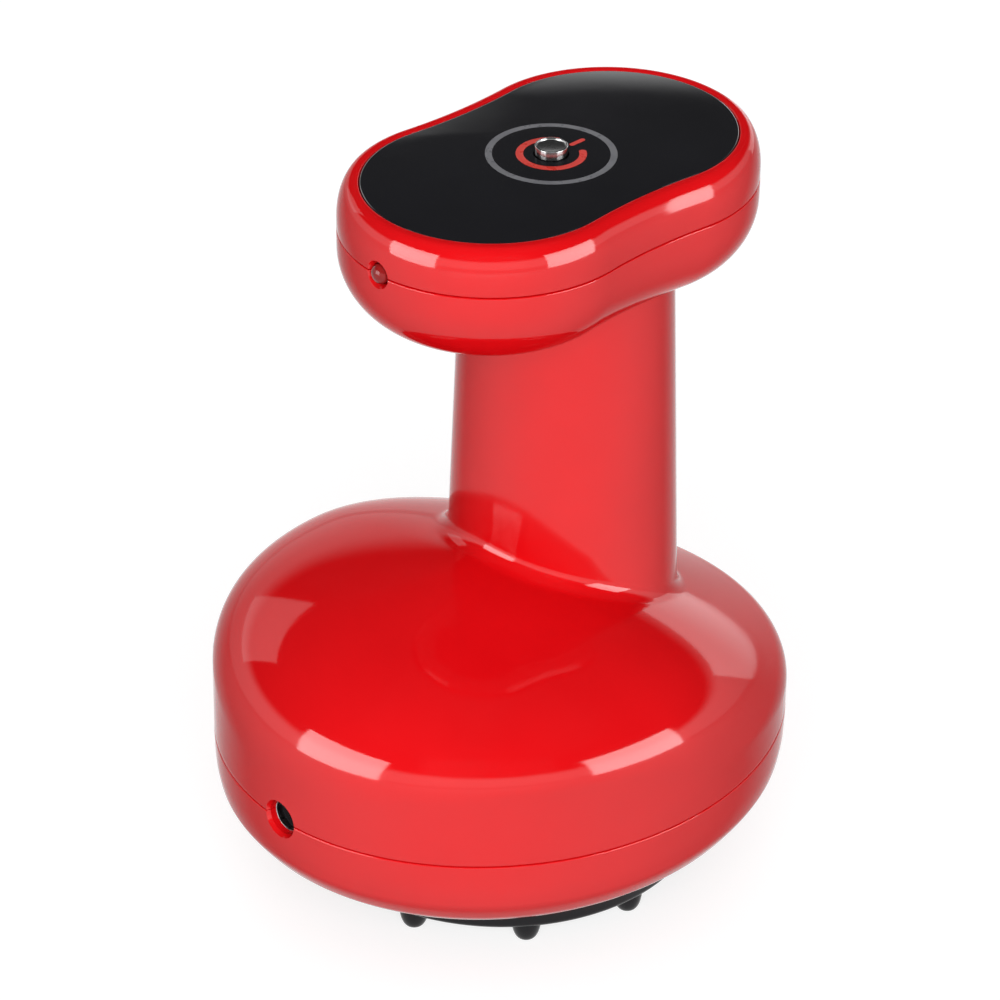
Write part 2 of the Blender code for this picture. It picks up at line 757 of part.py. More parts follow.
def body_cover():
    """Dome and neck in one moulding, with posts for the base's screws and the head's."""
    columns = [body_column(point) for point in base_outline(BASE_SEAM_HEIGHT)]
    cover = loft("body_cover", list(zip(*columns)), "red_gloss", ends="open")
    solidify = cover.modifiers.new("wall", "SOLIDIFY")
    solidify.thickness = SHELL_WALL
    solidify.offset = -1
    solidify.use_even_offset = True
    for index, degrees in enumerate(BASE_SCREW_ANGLES, 1):
        centre = on_circle(BASE_SCREW_CIRCLE, degrees)
        join(cover, post(
            f"base_post_{index}", centre, POST_RADIUS, BASE_POST_BOTTOM,
            lambda x, y: dome_height(x, y) - SHELL_WALL / 2,
        ))
        seat = Vector((centre.x, centre.y, BASE_POST_BOTTOM - OVERRUN))
        depth = BASE_SCREW_SEAT + BASE_SCREW_LENGTH - seat.z
        cut(cover, screw_hole(f"base_post_hole_{index}", seat, UP, depth))
    for index, side in enumerate((-1, 1), 1):
        top = Vector((0, NECK_SETBACK + side * NECK_SCREW_CIRCLE, HEAD_BOTTOM_HEIGHT))
        join(cover, rod(f"neck_post_{index}", NECK_POST_RADIUS, top - UP * NECK_POST_LENGTH, top))
        cut(cover, screw_hole(f"neck_post_hole_{index}", top + UP * OVERRUN, -UP,
                              NECK_SCREW_LENGTH - SHELL_WALL + OVERRUN))
    cut(cover, loft("pan_clearance", pan_rings(-GAP)), jack_opening())
    return cover


def jack_opening():
    """The round opening for the charging plug, sunk a little at the outer face."""
    front = Vector((0, -BASE_LENGTH / 2, BASE_SEAM_HEIGHT))
    shape = bmesh.new()
    fill_rod(shape, JACK_HOLE_RADIUS, front - ALONG_Y * OVERRUN,
             front + ALONG_Y * (SHELL_WALL + OVERRUN), MEDIUM_SIDES)
    hole = add_object("jack_hole", shape)
    sink_slope = (JACK_SINK_RADIUS - JACK_HOLE_RADIUS) / JACK_SINK_DEPTH
    sink = rod("jack_sink", JACK_SINK_RADIUS + sink_slope * OVERRUN, front - ALONG_Y * OVERRUN,
               front + ALONG_Y * JACK_SINK_DEPTH, sides=MEDIUM_SIDES, end_radius=JACK_HOLE_RADIUS)
    join(hole, sink)
    return hole


def base_lower_cover():
    """Lower ring and floor of the base, with the recess that takes the massage plate."""
    outside = [
        UNDERSIDE_HEIGHT + level * (BASE_SEAM_HEIGHT - CLOSE_GAP / 2 - UNDERSIDE_HEIGHT)
        for level, share in BASE_WALL_SHARES
    ]
    recess = PLATE_RADIUS + GAP
    opening = LENS_FLANGE_RADIUS + GAP
    rings = [base_outline(height) for height in reversed(outside)]
    rings += [circle(recess, (0, 0), UNDERSIDE_HEIGHT), circle(recess, (0, 0), RECESS_HEIGHT)]
    rings += [circle(opening, (0, 0), RECESS_HEIGHT), circle(opening, (0, 0), FLOOR_TOP_HEIGHT)]
    rings.append(base_outline(FLOOR_TOP_HEIGHT, SHELL_WALL))
    rings += [base_outline(height, SHELL_WALL) for height in outside if height > FLOOR_TOP_HEIGHT]
    cover = loft("base_lower_cover", rings, "red_gloss", ends="meet")
    join(cover, base_floor_posts())
    cut(cover, motor_seat(), base_floor_holes(), jack_opening())
    return cover


def base_floor_posts():
    """Screw bosses, the motor's cradle, the pump's pad and the posts of the valve and the board."""
    shape = bmesh.new()
    low = FLOOR_TOP_HEIGHT - EMBED
    for degrees in BASE_SCREW_ANGLES:
        centre = on_circle(BASE_SCREW_CIRCLE, degrees)
        fill_rod(shape, BASE_BOSS_RADIUS, centre + UP * low, centre + UP * BASE_BOSS_TOP)
    for inset in CRADLE_INSETS:
        x = MOTOR_FACE_X - MOTOR_LENGTH + inset
        fill_box(
            shape, (x - CRADLE_THICKNESS / 2, -MOTOR_OFFSET - CRADLE_WIDTH / 2, low),
            (x + CRADLE_THICKNESS / 2, -MOTOR_OFFSET + CRADLE_WIDTH / 2, MOTOR_AXIS_HEIGHT - MOTOR_RADIUS / 2),
        )
    fill_box(
        shape, (PUMP_X - PAD_WIDTH / 2, -MOTOR_OFFSET - PAD_LENGTH / 2, low),
        (PUMP_X + PAD_WIDTH / 2, -MOTOR_OFFSET + PAD_LENGTH / 2, CASE_BOTTOM_HEIGHT - GAP),
    )
    valve = Vector((VALVE_PAD_OFFSET[0] - VALVE_X, VALVE_SETBACK + VALVE_PAD_OFFSET[1], 0))
    fill_rod(shape, VALVE_PAD_RADIUS, valve + UP * low, valve + UP * (VALVE_BOTTOM_HEIGHT - GAP))
    for corner in main_board_corners():
        fill_rod(shape, BOARD_POST_RADIUS, corner + UP * low, corner + UP * (MAIN_BOARD_HEIGHT - GAP))
    return add_object("base_floor_posts", shape)


def main_board_corners():
    """Where the main board rests on its posts."""
    across = MAIN_BOARD_WIDTH / 2 - MAIN_BOARD_POST_INSET
    near = MAIN_BOARD_SETBACK + MAIN_BOARD_POST_INSET
    far = MAIN_BOARD_SETBACK + MAIN_BOARD_LENGTH - MAIN_BOARD_POST_INSET
    return [Vector((x, y, 0)) for x in (-across, across) for y in (near, far)]


def motor_seat():
    """The round that the motor's cradle is cut to."""
    start = Vector((MOTOR_FACE_X - MOTOR_LENGTH - OVERRUN, -MOTOR_OFFSET, MOTOR_AXIS_HEIGHT))
    return rod("motor_seat", MOTOR_RADIUS + GAP, start, start + ALONG_X * (MOTOR_LENGTH + 2 * OVERRUN),
               sides=LARGE_SIDES)


def base_floor_holes():
    """Holes for the plate's screws and sunk holes for the base's."""
    shape = bmesh.new()
    for degrees in PLATE_SCREW_ANGLES:
        centre = on_circle(PLATE_SCREW_CIRCLE, degrees)
        fill_rod(shape, SCREW_RADIUS + GAP, centre + UP * (RECESS_HEIGHT - OVERRUN),
                 centre + UP * (FLOOR_TOP_HEIGHT + OVERRUN))
    for degrees in BASE_SCREW_ANGLES:
        centre = on_circle(BASE_SCREW_CIRCLE, degrees)
        fill_rod(shape, SCREW_RADIUS + GAP, centre + UP * (RECESS_HEIGHT - OVERRUN),
                 centre + UP * (BASE_BOSS_TOP + OVERRUN))
    holes = add_object("base_floor_holes", shape)
    for index, degrees in enumerate(BASE_SCREW_ANGLES, 1):
        centre = on_circle(BASE_SCREW_CIRCLE, degrees)
        join(holes, rod(f"base_screw_sink_{index}", SCREW_HEAD_RADIUS + GAP,
                        centre + UP * (RECESS_HEIGHT - OVERRUN), centre + UP * (BASE_SCREW_SEAT + GAP)))
    return holes


def quarter_turn(steps=TURN_STEPS):
    """Angles of a quarter turn."""
    return [math.pi / 2 * step / steps for step in range(steps + 1)]


def pan_rings(inset):
    """Outlines of the pan from its seam down to its floor, on its outer face or that far inside it."""
    turn_start = HEAD_BOTTOM_HEIGHT + BOTTOM_TURN_HEIGHT
    widest = HEAD_BULGE - inset
    rings = [head_outline(widest, HEAD_SEAM_HEIGHT - CLOSE_GAP / 2)]
    for angle in quarter_turn():
        offset = widest - (BOTTOM_TURN_WIDTH - inset) * (1 - math.cos(angle))
        rings.append(head_outline(offset, turn_start - (BOTTOM_TURN_HEIGHT - inset) * math.sin(angle)))
    return rings


def head_lower_cover():
    """Pan under the head's seam, with posts for the button's board and the top cover's screws."""
    cover = loft("head_lower_cover", pan_rings(0.0)[::-1] + pan_rings(SHELL_WALL), "red_gloss")
    seats = []
    for x in (-1, 1):
        for y in (-1, 1):
            across = x * (BUTTON_BOARD_WIDTH / 2 - BOARD_POST_INSET)
            along = HEAD_SETBACK + y * (BUTTON_BOARD_LENGTH / 2 - BOARD_POST_INSET)
            seats.append(((across, along), BOARD_POST_RADIUS, BUTTON_BOARD_BOTTOM - GAP))
    for side in (-1, 1):
        seats.append((cover_screw_place(side), POST_RADIUS, LEDGE_HEIGHT - LEDGE_THICKNESS - GAP))
    for index, (centre, radius, level) in enumerate(seats, 1):
        join(cover, post(f"head_post_{index}", centre, radius, level,
                         lambda x, y: pan_height(x, y) + SHELL_WALL / 2))
    for index, side in enumerate((-1, 1), 1):
        centre = Vector((*cover_screw_place(side), 0))
        seat = centre + UP * (LEDGE_HEIGHT - SCREW_HEAD_HEIGHT + OVERRUN)
        cut(cover, screw_hole(f"head_post_hole_{index}", seat, -UP, COVER_SCREW_LENGTH + OVERRUN))
        neck = Vector((0, NECK_SETBACK + side * NECK_SCREW_CIRCLE, HEAD_BOTTOM_HEIGHT - OVERRUN))
        cut(cover, rod(f"pan_hole_{index}", SCREW_RADIUS + GAP, neck, neck + UP * (SHELL_WALL + 2 * OVERRUN)))
    passage = Vector((lead_passage(), NECK_SETBACK, HEAD_BOTTOM_HEIGHT - OVERRUN))
    cut(cover, rod("lead_hole", 2 * LEAD_RADIUS + GAP, passage, passage + UP * (2 * SHELL_WALL + OVERRUN)))
    cut(cover, lamp_opening())
    return cover


def lead_passage():
    """How far from the middle the panel's lead comes down beside the battery."""
    return CELL_RADIUS + FOAM_NOTCH_WALL + GAP + LEAD_RADIUS


def cover_screw_place(side):
    """Where a screw under the panel stands, near the front or back end."""
    return 0.0, HEAD_SETBACK + side * (PANEL_LENGTH / 2 - COVER_SCREW_INSET)


def lamp_opening():
    """The opening for the indicator lamp on the head's seam, sunk a little at the outer face."""
    front = Vector((0, HEAD_SETBACK - PANEL_LENGTH / 2 - HEAD_BULGE, HEAD_SEAM_HEIGHT))
    hole = rod("lamp_hole", LAMP_HOLE_RADIUS, front - ALONG_Y * OVERRUN,
               front + ALONG_Y * (SHELL_WALL + OVERRUN))
    slope = (LAMP_SINK_RADIUS - LAMP_HOLE_RADIUS) / LAMP_SINK_DEPTH
    join(hole, rod("lamp_sink", LAMP_SINK_RADIUS + slope * OVERRUN, front - ALONG_Y * OVERRUN,
                   front + ALONG_Y * LAMP_SINK_DEPTH, end_radius=LAMP_HOLE_RADIUS))
    return hole


def head_top_cover():
    """Rim of the head, from the seam up to the panel's edge, with the ledge under the panel."""
    turn_start = PANEL_HEIGHT - TOP_TURN_HEIGHT
    bottom = HEAD_SEAM_HEIGHT + CLOSE_GAP / 2
    section = [(HEAD_BULGE, bottom)]
    for angle in quarter_turn():
        offset = HEAD_BULGE - (HEAD_BULGE - HEAD_RIM) * (1 - math.cos(angle))
        section.append((offset, turn_start + TOP_TURN_HEIGHT * math.sin(angle)))
    ledge_bottom = LEDGE_HEIGHT - LEDGE_THICKNESS
    section += [
        (CLOSE_GAP + PANEL_EDGE, PANEL_HEIGHT), (CLOSE_GAP, PANEL_HEIGHT - PANEL_EDGE),
        (CLOSE_GAP, LEDGE_HEIGHT), (-LEDGE_WIDTH, LEDGE_HEIGHT), (-LEDGE_WIDTH, ledge_bottom),
        (HEAD_BULGE - SHELL_WALL, ledge_bottom), (HEAD_BULGE - SHELL_WALL, bottom),
    ]
    rings = [head_outline(offset, height) for offset, height in section]
    cover = loft("head_top_cover", rings, "red_gloss", ends="meet")
    for index, side in enumerate((-1, 1), 1):
        centre = Vector((*cover_screw_place(side), 0))
        seat = LEDGE_HEIGHT - SCREW_HEAD_HEIGHT
        hole = rod(f"ledge_hole_{index}", SCREW_RADIUS + GAP, centre + UP * (ledge_bottom - OVERRUN),
                   centre + UP * (LEDGE_HEIGHT + OVERRUN))
        join(hole, rod(f"ledge_sink_{index}", SCREW_HEAD_RADIUS + GAP, centre + UP * (seat - GAP),
                       centre + UP * (LEDGE_HEIGHT + OVERRUN)))
        cut(cover, hole)
    cut(cover, lamp_opening())
    return cover


def control_panel():
    """Flat panel with a bevelled edge and the button's hole."""
    bottom = PANEL_HEIGHT - PANEL_THICKNESS
    rings = [
        head_outline(0.0, bottom), head_outline(0.0, PANEL_HEIGHT - PANEL_EDGE),
        head_outline(-PANEL_EDGE, PANEL_HEIGHT),
    ]
    panel = loft("control_panel", rings, "black_gloss")
    centre = Vector((0, HEAD_SETBACK, 0))
    cut(panel, rod("button_hole", BUTTON_RADIUS + GAP, centre + UP * (bottom - OVERRUN),
                   centre + UP * (PANEL_HEIGHT + OVERRUN), sides=MEDIUM_SIDES))
    return panel


# Button, switch and lamp

def power_button():
    """Turned button with a dished top, held under the panel by its flange."""
    top = PANEL_HEIGHT + BUTTON_PROUD
    flange_bottom = BUTTON_FLANGE_TOP - BUTTON_FLANGE_THICKNESS
    rim = BUTTON_RADIUS - 2 * BUTTON_EDGE
    profile = [
        (0, top - BUTTON_DISH), (rim / 2, top - BUTTON_DISH * 3 / 4), (rim, top), (rim + BUTTON_EDGE, top),
        (BUTTON_RADIUS, top - BUTTON_EDGE), (BUTTON_RADIUS, BUTTON_FLANGE_TOP),
        (BUTTON_FLANGE_RADIUS, BUTTON_FLANGE_TOP), (BUTTON_FLANGE_RADIUS, flange_bottom),
        (BUTTON_STEM_RADIUS, flange_bottom), (BUTTON_STEM_RADIUS, BUTTON_STEM_BOTTOM),
        (0, BUTTON_STEM_BOTTOM),
    ]
    return turned("power_button", profile, "brushed_steel", (0, HEAD_SETBACK, 0))


def button_switch():
    """Tactile switch: its body with a well, and the plunger in the well."""
    half = SWITCH_SIZE / 2
    body = box("switch_body", (-half, HEAD_SETBACK - half, SWITCH_BOTTOM),
               (half, HEAD_SETBACK + half, SWITCH_TOP), "black_part")
    centre = Vector((0, HEAD_SETBACK, 0))
    plunger_bottom = PLUNGER_TOP - PLUNGER_LENGTH
    well_bottom = plunger_bottom - BUTTON_TRAVEL - GAP
    cut(body, rod("switch_well", PLUNGER_RADIUS + GAP, centre + UP * well_bottom,
                  centre + UP * (SWITCH_TOP + OVERRUN)))
    rod("switch_plunger", PLUNGER_RADIUS, centre + UP * plunger_bottom, centre + UP * PLUNGER_TOP,
        "white_plastic")


def button_board():
    """Circuit board under the panel."""
    box("button_board", (-BUTTON_BOARD_WIDTH / 2, HEAD_SETBACK - BUTTON_BOARD_LENGTH / 2, BUTTON_BOARD_BOTTOM),
        (BUTTON_BOARD_WIDTH / 2, HEAD_SETBACK + BUTTON_BOARD_LENGTH / 2, BUTTON_BOARD_TOP), "board_green")


def indicator_led():
    """Small round lamp that looks out of the front of the head."""
    wall_inside = HEAD_SETBACK - PANEL_LENGTH / 2 - HEAD_BULGE + SHELL_WALL
    dome = [
        (LAMP_RADIUS * math.sin(angle), LAMP_LENGTH - LAMP_RADIUS * (1 - math.cos(angle)))
        for angle in quarter_turn(3)
    ]
    profile = dome + [
        (LAMP_RADIUS, LAMP_COLLAR_LENGTH), (LAMP_COLLAR_RADIUS, LAMP_COLLAR_LENGTH),
        (LAMP_COLLAR_RADIUS, 0), (0, 0),
    ]
    place = (0, wall_inside + GAP + LAMP_COLLAR_LENGTH, HEAD_SEAM_HEIGHT)
    return turned("indicator_led", profile, "milky_lamp", place, -ALONG_Y, SMALL_SIDES)


def charging_jack():
    """Socket with its bore and centre pin."""
    corner = JACK_WIDTH / 2
    half_across = BASE_WIDTH / 2 - SHELL_WALL
    share = base_share(BASE_SEAM_HEIGHT - JACK_HEIGHT / 2)
    half_along = BASE_LENGTH / 2 * share - SHELL_WALL
    front = -half_along * math.sqrt(1 - (corner / half_across) ** 2) + GAP
    low = Vector((-corner, front, BASE_SEAM_HEIGHT - JACK_HEIGHT / 2))
    high = Vector((corner, front + JACK_LENGTH, BASE_SEAM_HEIGHT + JACK_HEIGHT / 2))
    jack = box("charging_jack", low, high, "black_part")
    mouth = Vector((0, front, BASE_SEAM_HEIGHT))
    pin_tip = JACK_PIN_LENGTH - JACK_BORE_DEPTH
    bore = turned("jack_bore", [
        (0, OVERRUN), (JACK_BORE_RADIUS, OVERRUN), (JACK_BORE_RADIUS, -JACK_BORE_DEPTH),
        (JACK_PIN_RADIUS, -JACK_BORE_DEPTH), (JACK_PIN_RADIUS, pin_tip), (0, pin_tip),
    ], None, mouth, -ALONG_Y)
    cut(jack, bore)
    return jack


# Plate, nubs and light

def massage_plate():
    """Round plate with the suction cup's recess, pockets for the nubs and a hole for the lens."""
    outer = [
        (PLATE_RADIUS - PLATE_EDGE * (1 - math.cos(angle)), NUB_REACH + PLATE_EDGE * (1 - math.sin(angle)))
        for angle in quarter_turn(3)
    ]
    profile = [(PLATE_RADIUS, PLATE_TOP_HEIGHT)] + outer + [
        (CUP_MOUTH_RADIUS + CUP_LIP, NUB_REACH), (CUP_MOUTH_RADIUS, NUB_REACH + CUP_LIP),
        (CUP_CEILING_RADIUS + CUP_LIP, CUP_CEILING_HEIGHT - CUP_LIP), (CUP_CEILING_RADIUS, CUP_CEILING_HEIGHT),
        (LENS_RADIUS + GAP, CUP_CEILING_HEIGHT), (LENS_RADIUS + GAP, PLATE_TOP_HEIGHT),
    ]
    plate = turned("massage_plate", profile, "black_gloss", sides=OUTLINE_SIDES)
    pockets = []
    for place in nub_places():
        pockets.append((place + UP * (NUB_REACH - OVERRUN), place + UP * (NUB_REACH + NUB_SEAT_DEPTH + GAP)))
    cut(plate, rods("nub_pockets", NUB_RADIUS + CLOSE_GAP, pockets))
    threads = []
    for degrees in PLATE_SCREW_ANGLES:
        centre = on_circle(PLATE_SCREW_CIRCLE, degrees)
        low = PLATE_TOP_HEIGHT - (PLATE_SCREW_LENGTH - FLOOR_THICKNESS) - GAP
        threads.append((centre + UP * low, centre + UP * (PLATE_TOP_HEIGHT + OVERRUN)))
    cut(plate, rods("plate_screw_holes", SCREW_RADIUS + CLOSE_GAP, threads))
    return plate


def nub_places():
    return [on_circle(NUB_CIRCLE, 360 * index / NUB_COUNT) for index in range(NUB_COUNT)]


def massage_nubs():
    """Small domed nubs, flat at the tip, each seated in its pocket."""
    dome = [
        (NUB_TIP_RADIUS + (NUB_RADIUS - NUB_TIP_RADIUS) * math.cos(angle), NUB_REACH * (1 - math.sin(angle)))
        for angle in quarter_turn(3)
    ]
    top = NUB_REACH + NUB_SEAT_DEPTH
    profile = [(0, top), (NUB_RADIUS, top)] + dome + [(0, 0)]
    for index, place in enumerate(nub_places(), 1):
        turned(f"massage_nub_{index:02d}", profile, "black_gloss", place, sides=SMALL_SIDES)


def light_lens():
    """Clear ring in the middle of the plate, with a well for the filter."""
    well_top = CUP_CEILING_HEIGHT + FILTER_WELL_DEPTH
    profile = [
        (LENS_FLANGE_RADIUS, LENS_TOP_HEIGHT), (LENS_FLANGE_RADIUS, RECESS_HEIGHT),
        (LENS_RADIUS, RECESS_HEIGHT), (LENS_RADIUS, CUP_CEILING_HEIGHT),
        (FILTER_RADIUS + GAP, CUP_CEILING_HEIGHT), (FILTER_RADIUS + GAP, well_top),
        (NOZZLE_RADIUS + GAP, well_top), (NOZZLE_RADIUS + GAP, LENS_TOP_HEIGHT),
    ]
    return turned("light_lens", profile, "dark_red_lens", sides=LARGE_SIDES)


def light_board():
    """Ring board over the lens with lamps on its underside."""
    top = LIGHT_BOARD_HEIGHT + BOARD_THICKNESS
    profile = [
        (LIGHT_BOARD_RADIUS, top), (LIGHT_BOARD_RADIUS, LIGHT_BOARD_HEIGHT),
        (LIGHT_BOARD_HOLE, LIGHT_BOARD_HEIGHT), (LIGHT_BOARD_HOLE, top),
    ]
    board = turned("light_board", profile, "board_green", sides=LARGE_SIDES)
    shape = bmesh.new()
    half = LAMP_CHIP_SIZE / 2
    for index in range(LAMP_CHIP_COUNT):
        centre = on_circle(LAMP_CHIP_CIRCLE, 360 * index / LAMP_CHIP_COUNT)
        fill_box(shape, (centre.x - half, centre.y - half, LIGHT_BOARD_HEIGHT - LAMP_CHIP_HEIGHT),
                 (centre.x + half, centre.y + half, LIGHT_BOARD_HEIGHT + EMBED))
    join(board, add_object("lamp_chips", shape))
    return board


def suction_filter():
    """Sponge disc and the holed cap under it, in the well of the lens."""
    cap_top = CUP_CEILING_HEIGHT + FILTER_CAP_THICKNESS
    cap = rod("filter_cap", FILTER_RADIUS, UP * CUP_CEILING_HEIGHT, UP * cap_top, "grey_plastic", MEDIUM_SIDES)
    ends = []
    for index in range(FILTER_HOLE_COUNT):
        centre = on_circle(FILTER_HOLE_CIRCLE, 360 * index / FILTER_HOLE_COUNT)
        ends.append((centre + UP * (CUP_CEILING_HEIGHT - OVERRUN), centre + UP * (cap_top + OVERRUN)))
    cut(cap, rods("filter_holes", FILTER_HOLE_RADIUS, ends))
    rod("filter_sponge", FILTER_RADIUS, UP * (cap_top + GAP), UP * (cap_top + GAP + FILTER_SPONGE_THICKNESS),
        "foam_grey", MEDIUM_SIDES)


def suction_nozzle():
    """Nozzle over the filter with one barb up to the pump and one across to the valve."""
    flange_top = NOZZLE_FLANGE_HEIGHT + NOZZLE_FLANGE_THICKNESS
    bottom = CUP_CEILING_HEIGHT + FILTER_WELL_DEPTH + GAP
    barb_top = NOZZLE_SHOULDER + BARB_LENGTH
    profile = [
        (BARB_RADIUS, barb_top), (BARB_RADIUS, NOZZLE_SHOULDER), (NOZZLE_RADIUS, NOZZLE_SHOULDER),
        (NOZZLE_RADIUS, flange_top), (NOZZLE_FLANGE_RADIUS, flange_top),
        (NOZZLE_FLANGE_RADIUS, NOZZLE_FLANGE_HEIGHT), (NOZZLE_RADIUS, NOZZLE_FLANGE_HEIGHT),
        (NOZZLE_RADIUS, bottom), (BARB_BORE, bottom), (BARB_BORE, barb_top),
    ]
    nozzle = turned("suction_nozzle", profile, "white_plastic")
    branch = UP * NOZZLE_BRANCH_HEIGHT
    join(nozzle, rod("nozzle_branch", BARB_RADIUS, branch - ALONG_X * (NOZZLE_RADIUS - EMBED),
                     branch - ALONG_X * (NOZZLE_RADIUS + BARB_LENGTH)))
    cut(nozzle, rod("nozzle_branch_bore", BARB_BORE, branch,
                    branch - ALONG_X * (NOZZLE_RADIUS + BARB_LENGTH + OVERRUN)))
    return nozzle


# Pump

def motor():
    """Motor can with its rear bearing cap, and the shaft in its front bearing."""
    face = Vector((MOTOR_FACE_X, -MOTOR_OFFSET, MOTOR_AXIS_HEIGHT))
    bearing = SHAFT_RADIUS + GAP
    profile = [
        (bearing, 0), (MOTOR_RADIUS, 0), (MOTOR_RADIUS, -MOTOR_LENGTH), (MOTOR_CAP_RADIUS, -MOTOR_LENGTH),
        (MOTOR_CAP_RADIUS, -MOTOR_LENGTH - MOTOR_CAP_LENGTH), (0, -MOTOR_LENGTH - MOTOR_CAP_LENGTH),
    ]
    profile = [(0, -MOTOR_BEARING_DEPTH), (bearing, -MOTOR_BEARING_DEPTH)] + profile
    turned("motor_can", profile, "brushed_steel", face, ALONG_X, LARGE_SIDES)
    shaft_back = GAP - MOTOR_BEARING_DEPTH
    shaft = [(0, SHAFT_REACH), (SHAFT_RADIUS, SHAFT_REACH), (SHAFT_RADIUS, shaft_back), (0, shaft_back)]
    turned("motor_shaft", shaft, "brushed_steel", face, ALONG_X, SMALL_SIDES)


def pump_eccentric():
    """Hub on the motor's shaft with the crank pin off its centre."""
    start = MOTOR_FACE_X + SHAFT_REACH + GAP + HUB_WEB - HUB_LENGTH
    axis = Vector((0, -MOTOR_OFFSET, MOTOR_AXIS_HEIGHT))
    bore = SHAFT_RADIUS + CLOSE_GAP
    profile = [
        (0, HUB_LENGTH), (HUB_RADIUS, HUB_LENGTH), (HUB_RADIUS, 0), (bore, 0),
        (bore, HUB_LENGTH - HUB_WEB), (0, HUB_LENGTH - HUB_WEB),
    ]
    hub = turned("pump_eccentric", profile, "brushed_steel", axis + ALONG_X * start, ALONG_X)
    pin = axis + ALONG_X * (start + HUB_LENGTH) + UP * CRANK_THROW
    join(hub, rod("crank_pin", CRANK_PIN_RADIUS, pin - ALONG_X * HUB_WEB / 2, pin + ALONG_X * CRANK_PIN_LENGTH))
    return hub


def pump_crankcase():
    """Square case on the motor's face, open at the top, with a hole for the shaft."""
    half = CASE_SIDE / 2
    case = box("pump_crankcase", (PUMP_X - half, -MOTOR_OFFSET - half, CASE_BOTTOM_HEIGHT),
               (PUMP_X + half, -MOTOR_OFFSET + half, CASE_TOP_HEIGHT), "grey_plastic")
    room = half - CASE_WALL
    cut(case, box("crank_room", (PUMP_X - room, -MOTOR_OFFSET - room, CASE_BOTTOM_HEIGHT + CASE_FLOOR),
                  (PUMP_X + room, -MOTOR_OFFSET + room, CASE_TOP_HEIGHT + OVERRUN)))
    hole = Vector((PUMP_X - half - OVERRUN, -MOTOR_OFFSET, MOTOR_AXIS_HEIGHT))
    cut(case, rod("shaft_hole", SHAFT_RADIUS + GAP, hole, hole + ALONG_X * (CASE_WALL + 2 * OVERRUN)))
    return case


def pump_rod():
    """Connecting rod: a ring round the crank pin, a stem and the disc under the diaphragm."""
    low = PUMP_X - ROD_THICKNESS / 2
    centre = Vector((low, -MOTOR_OFFSET, MOTOR_AXIS_HEIGHT))
    rod_body = rod("pump_rod", ROD_RING_RADIUS, centre, centre + ALONG_X * ROD_THICKNESS, "white_plastic",
                   MEDIUM_SIDES)
    disc_top = CASE_TOP_HEIGHT + GAP - DIAPHRAGM_DISH - GAP
    disc_bottom = disc_top - ROD_DISC_THICKNESS
    stem_low = MOTOR_AXIS_HEIGHT + ROD_RING_RADIUS - ROD_STEM_WIDTH / 2
    stem_high = disc_top - ROD_DISC_THICKNESS / 2
    stem = box("rod_stem", (low + EMBED, -MOTOR_OFFSET - ROD_STEM_WIDTH / 2, stem_low),
               (low + ROD_THICKNESS - EMBED, -MOTOR_OFFSET + ROD_STEM_WIDTH / 2, stem_high))
    middle = Vector((PUMP_X, -MOTOR_OFFSET, 0))
    disc = rod("rod_disc", ROD_DISC_RADIUS, middle + UP * disc_bottom, middle + UP * disc_top)
    join(rod_body, stem, disc)
    bore = CRANK_PIN_RADIUS + 2 * CRANK_THROW + GAP
    cut(rod_body, rod("rod_bore", bore, centre - ALONG_X * OVERRUN,
                      centre + ALONG_X * (ROD_THICKNESS + OVERRUN), sides=MEDIUM_SIDES))
    return rod_body


def pump_diaphragm():
    """Dished rubber disc, held at its rim between the case and the head."""
    low = CASE_TOP_HEIGHT + GAP
    high = low + DIAPHRAGM_THICKNESS
    dish_inner = ROD_DISC_RADIUS
    dish_outer = DIAPHRAGM_RADIUS * 2 / 3
    profile = [
        (0, high - DIAPHRAGM_DISH), (dish_inner, high - DIAPHRAGM_DISH), (dish_outer, high),
        (DIAPHRAGM_RADIUS, high), (DIAPHRAGM_RADIUS, low), (dish_outer, low),
        (dish_inner, low - DIAPHRAGM_DISH), (0, low - DIAPHRAGM_DISH),
    ]
    return turned("pump_diaphragm", profile, "rubber_black", (PUMP_X, -MOTOR_OFFSET, 0))


def pump_head():
    """Head over the diaphragm with its chamber, the inlet barb and the outlet barb."""
    half = CASE_SIDE / 2
    centre = Vector((PUMP_X, -MOTOR_OFFSET, PUMP_HEAD_BOTTOM))
    head = box("pump_head", centre - Vector((half, half, 0)), centre + Vector((half, half, PUMP_HEAD_HEIGHT)),
               "grey_plastic")
    port = centre + UP * PUMP_PORT_RISE
    barb_reach = half + BARB_LENGTH
    join(head, rod("pump_inlet", BARB_RADIUS, port + ALONG_Y * (half - EMBED), port + ALONG_Y * barb_reach),
         rod("pump_outlet", BARB_RADIUS, port - ALONG_Y * (half - EMBED), port - ALONG_Y * barb_reach))
    cut(head, rod("pump_chamber", PUMP_CHAMBER_RADIUS, centre - UP * OVERRUN, centre + UP * PUMP_CHAMBER_DEPTH,
                  sides=MEDIUM_SIDES),
        rod("pump_ports", BARB_BORE, port - ALONG_Y * (barb_reach + OVERRUN),
            port + ALONG_Y * (barb_reach + OVERRUN)))
    return head


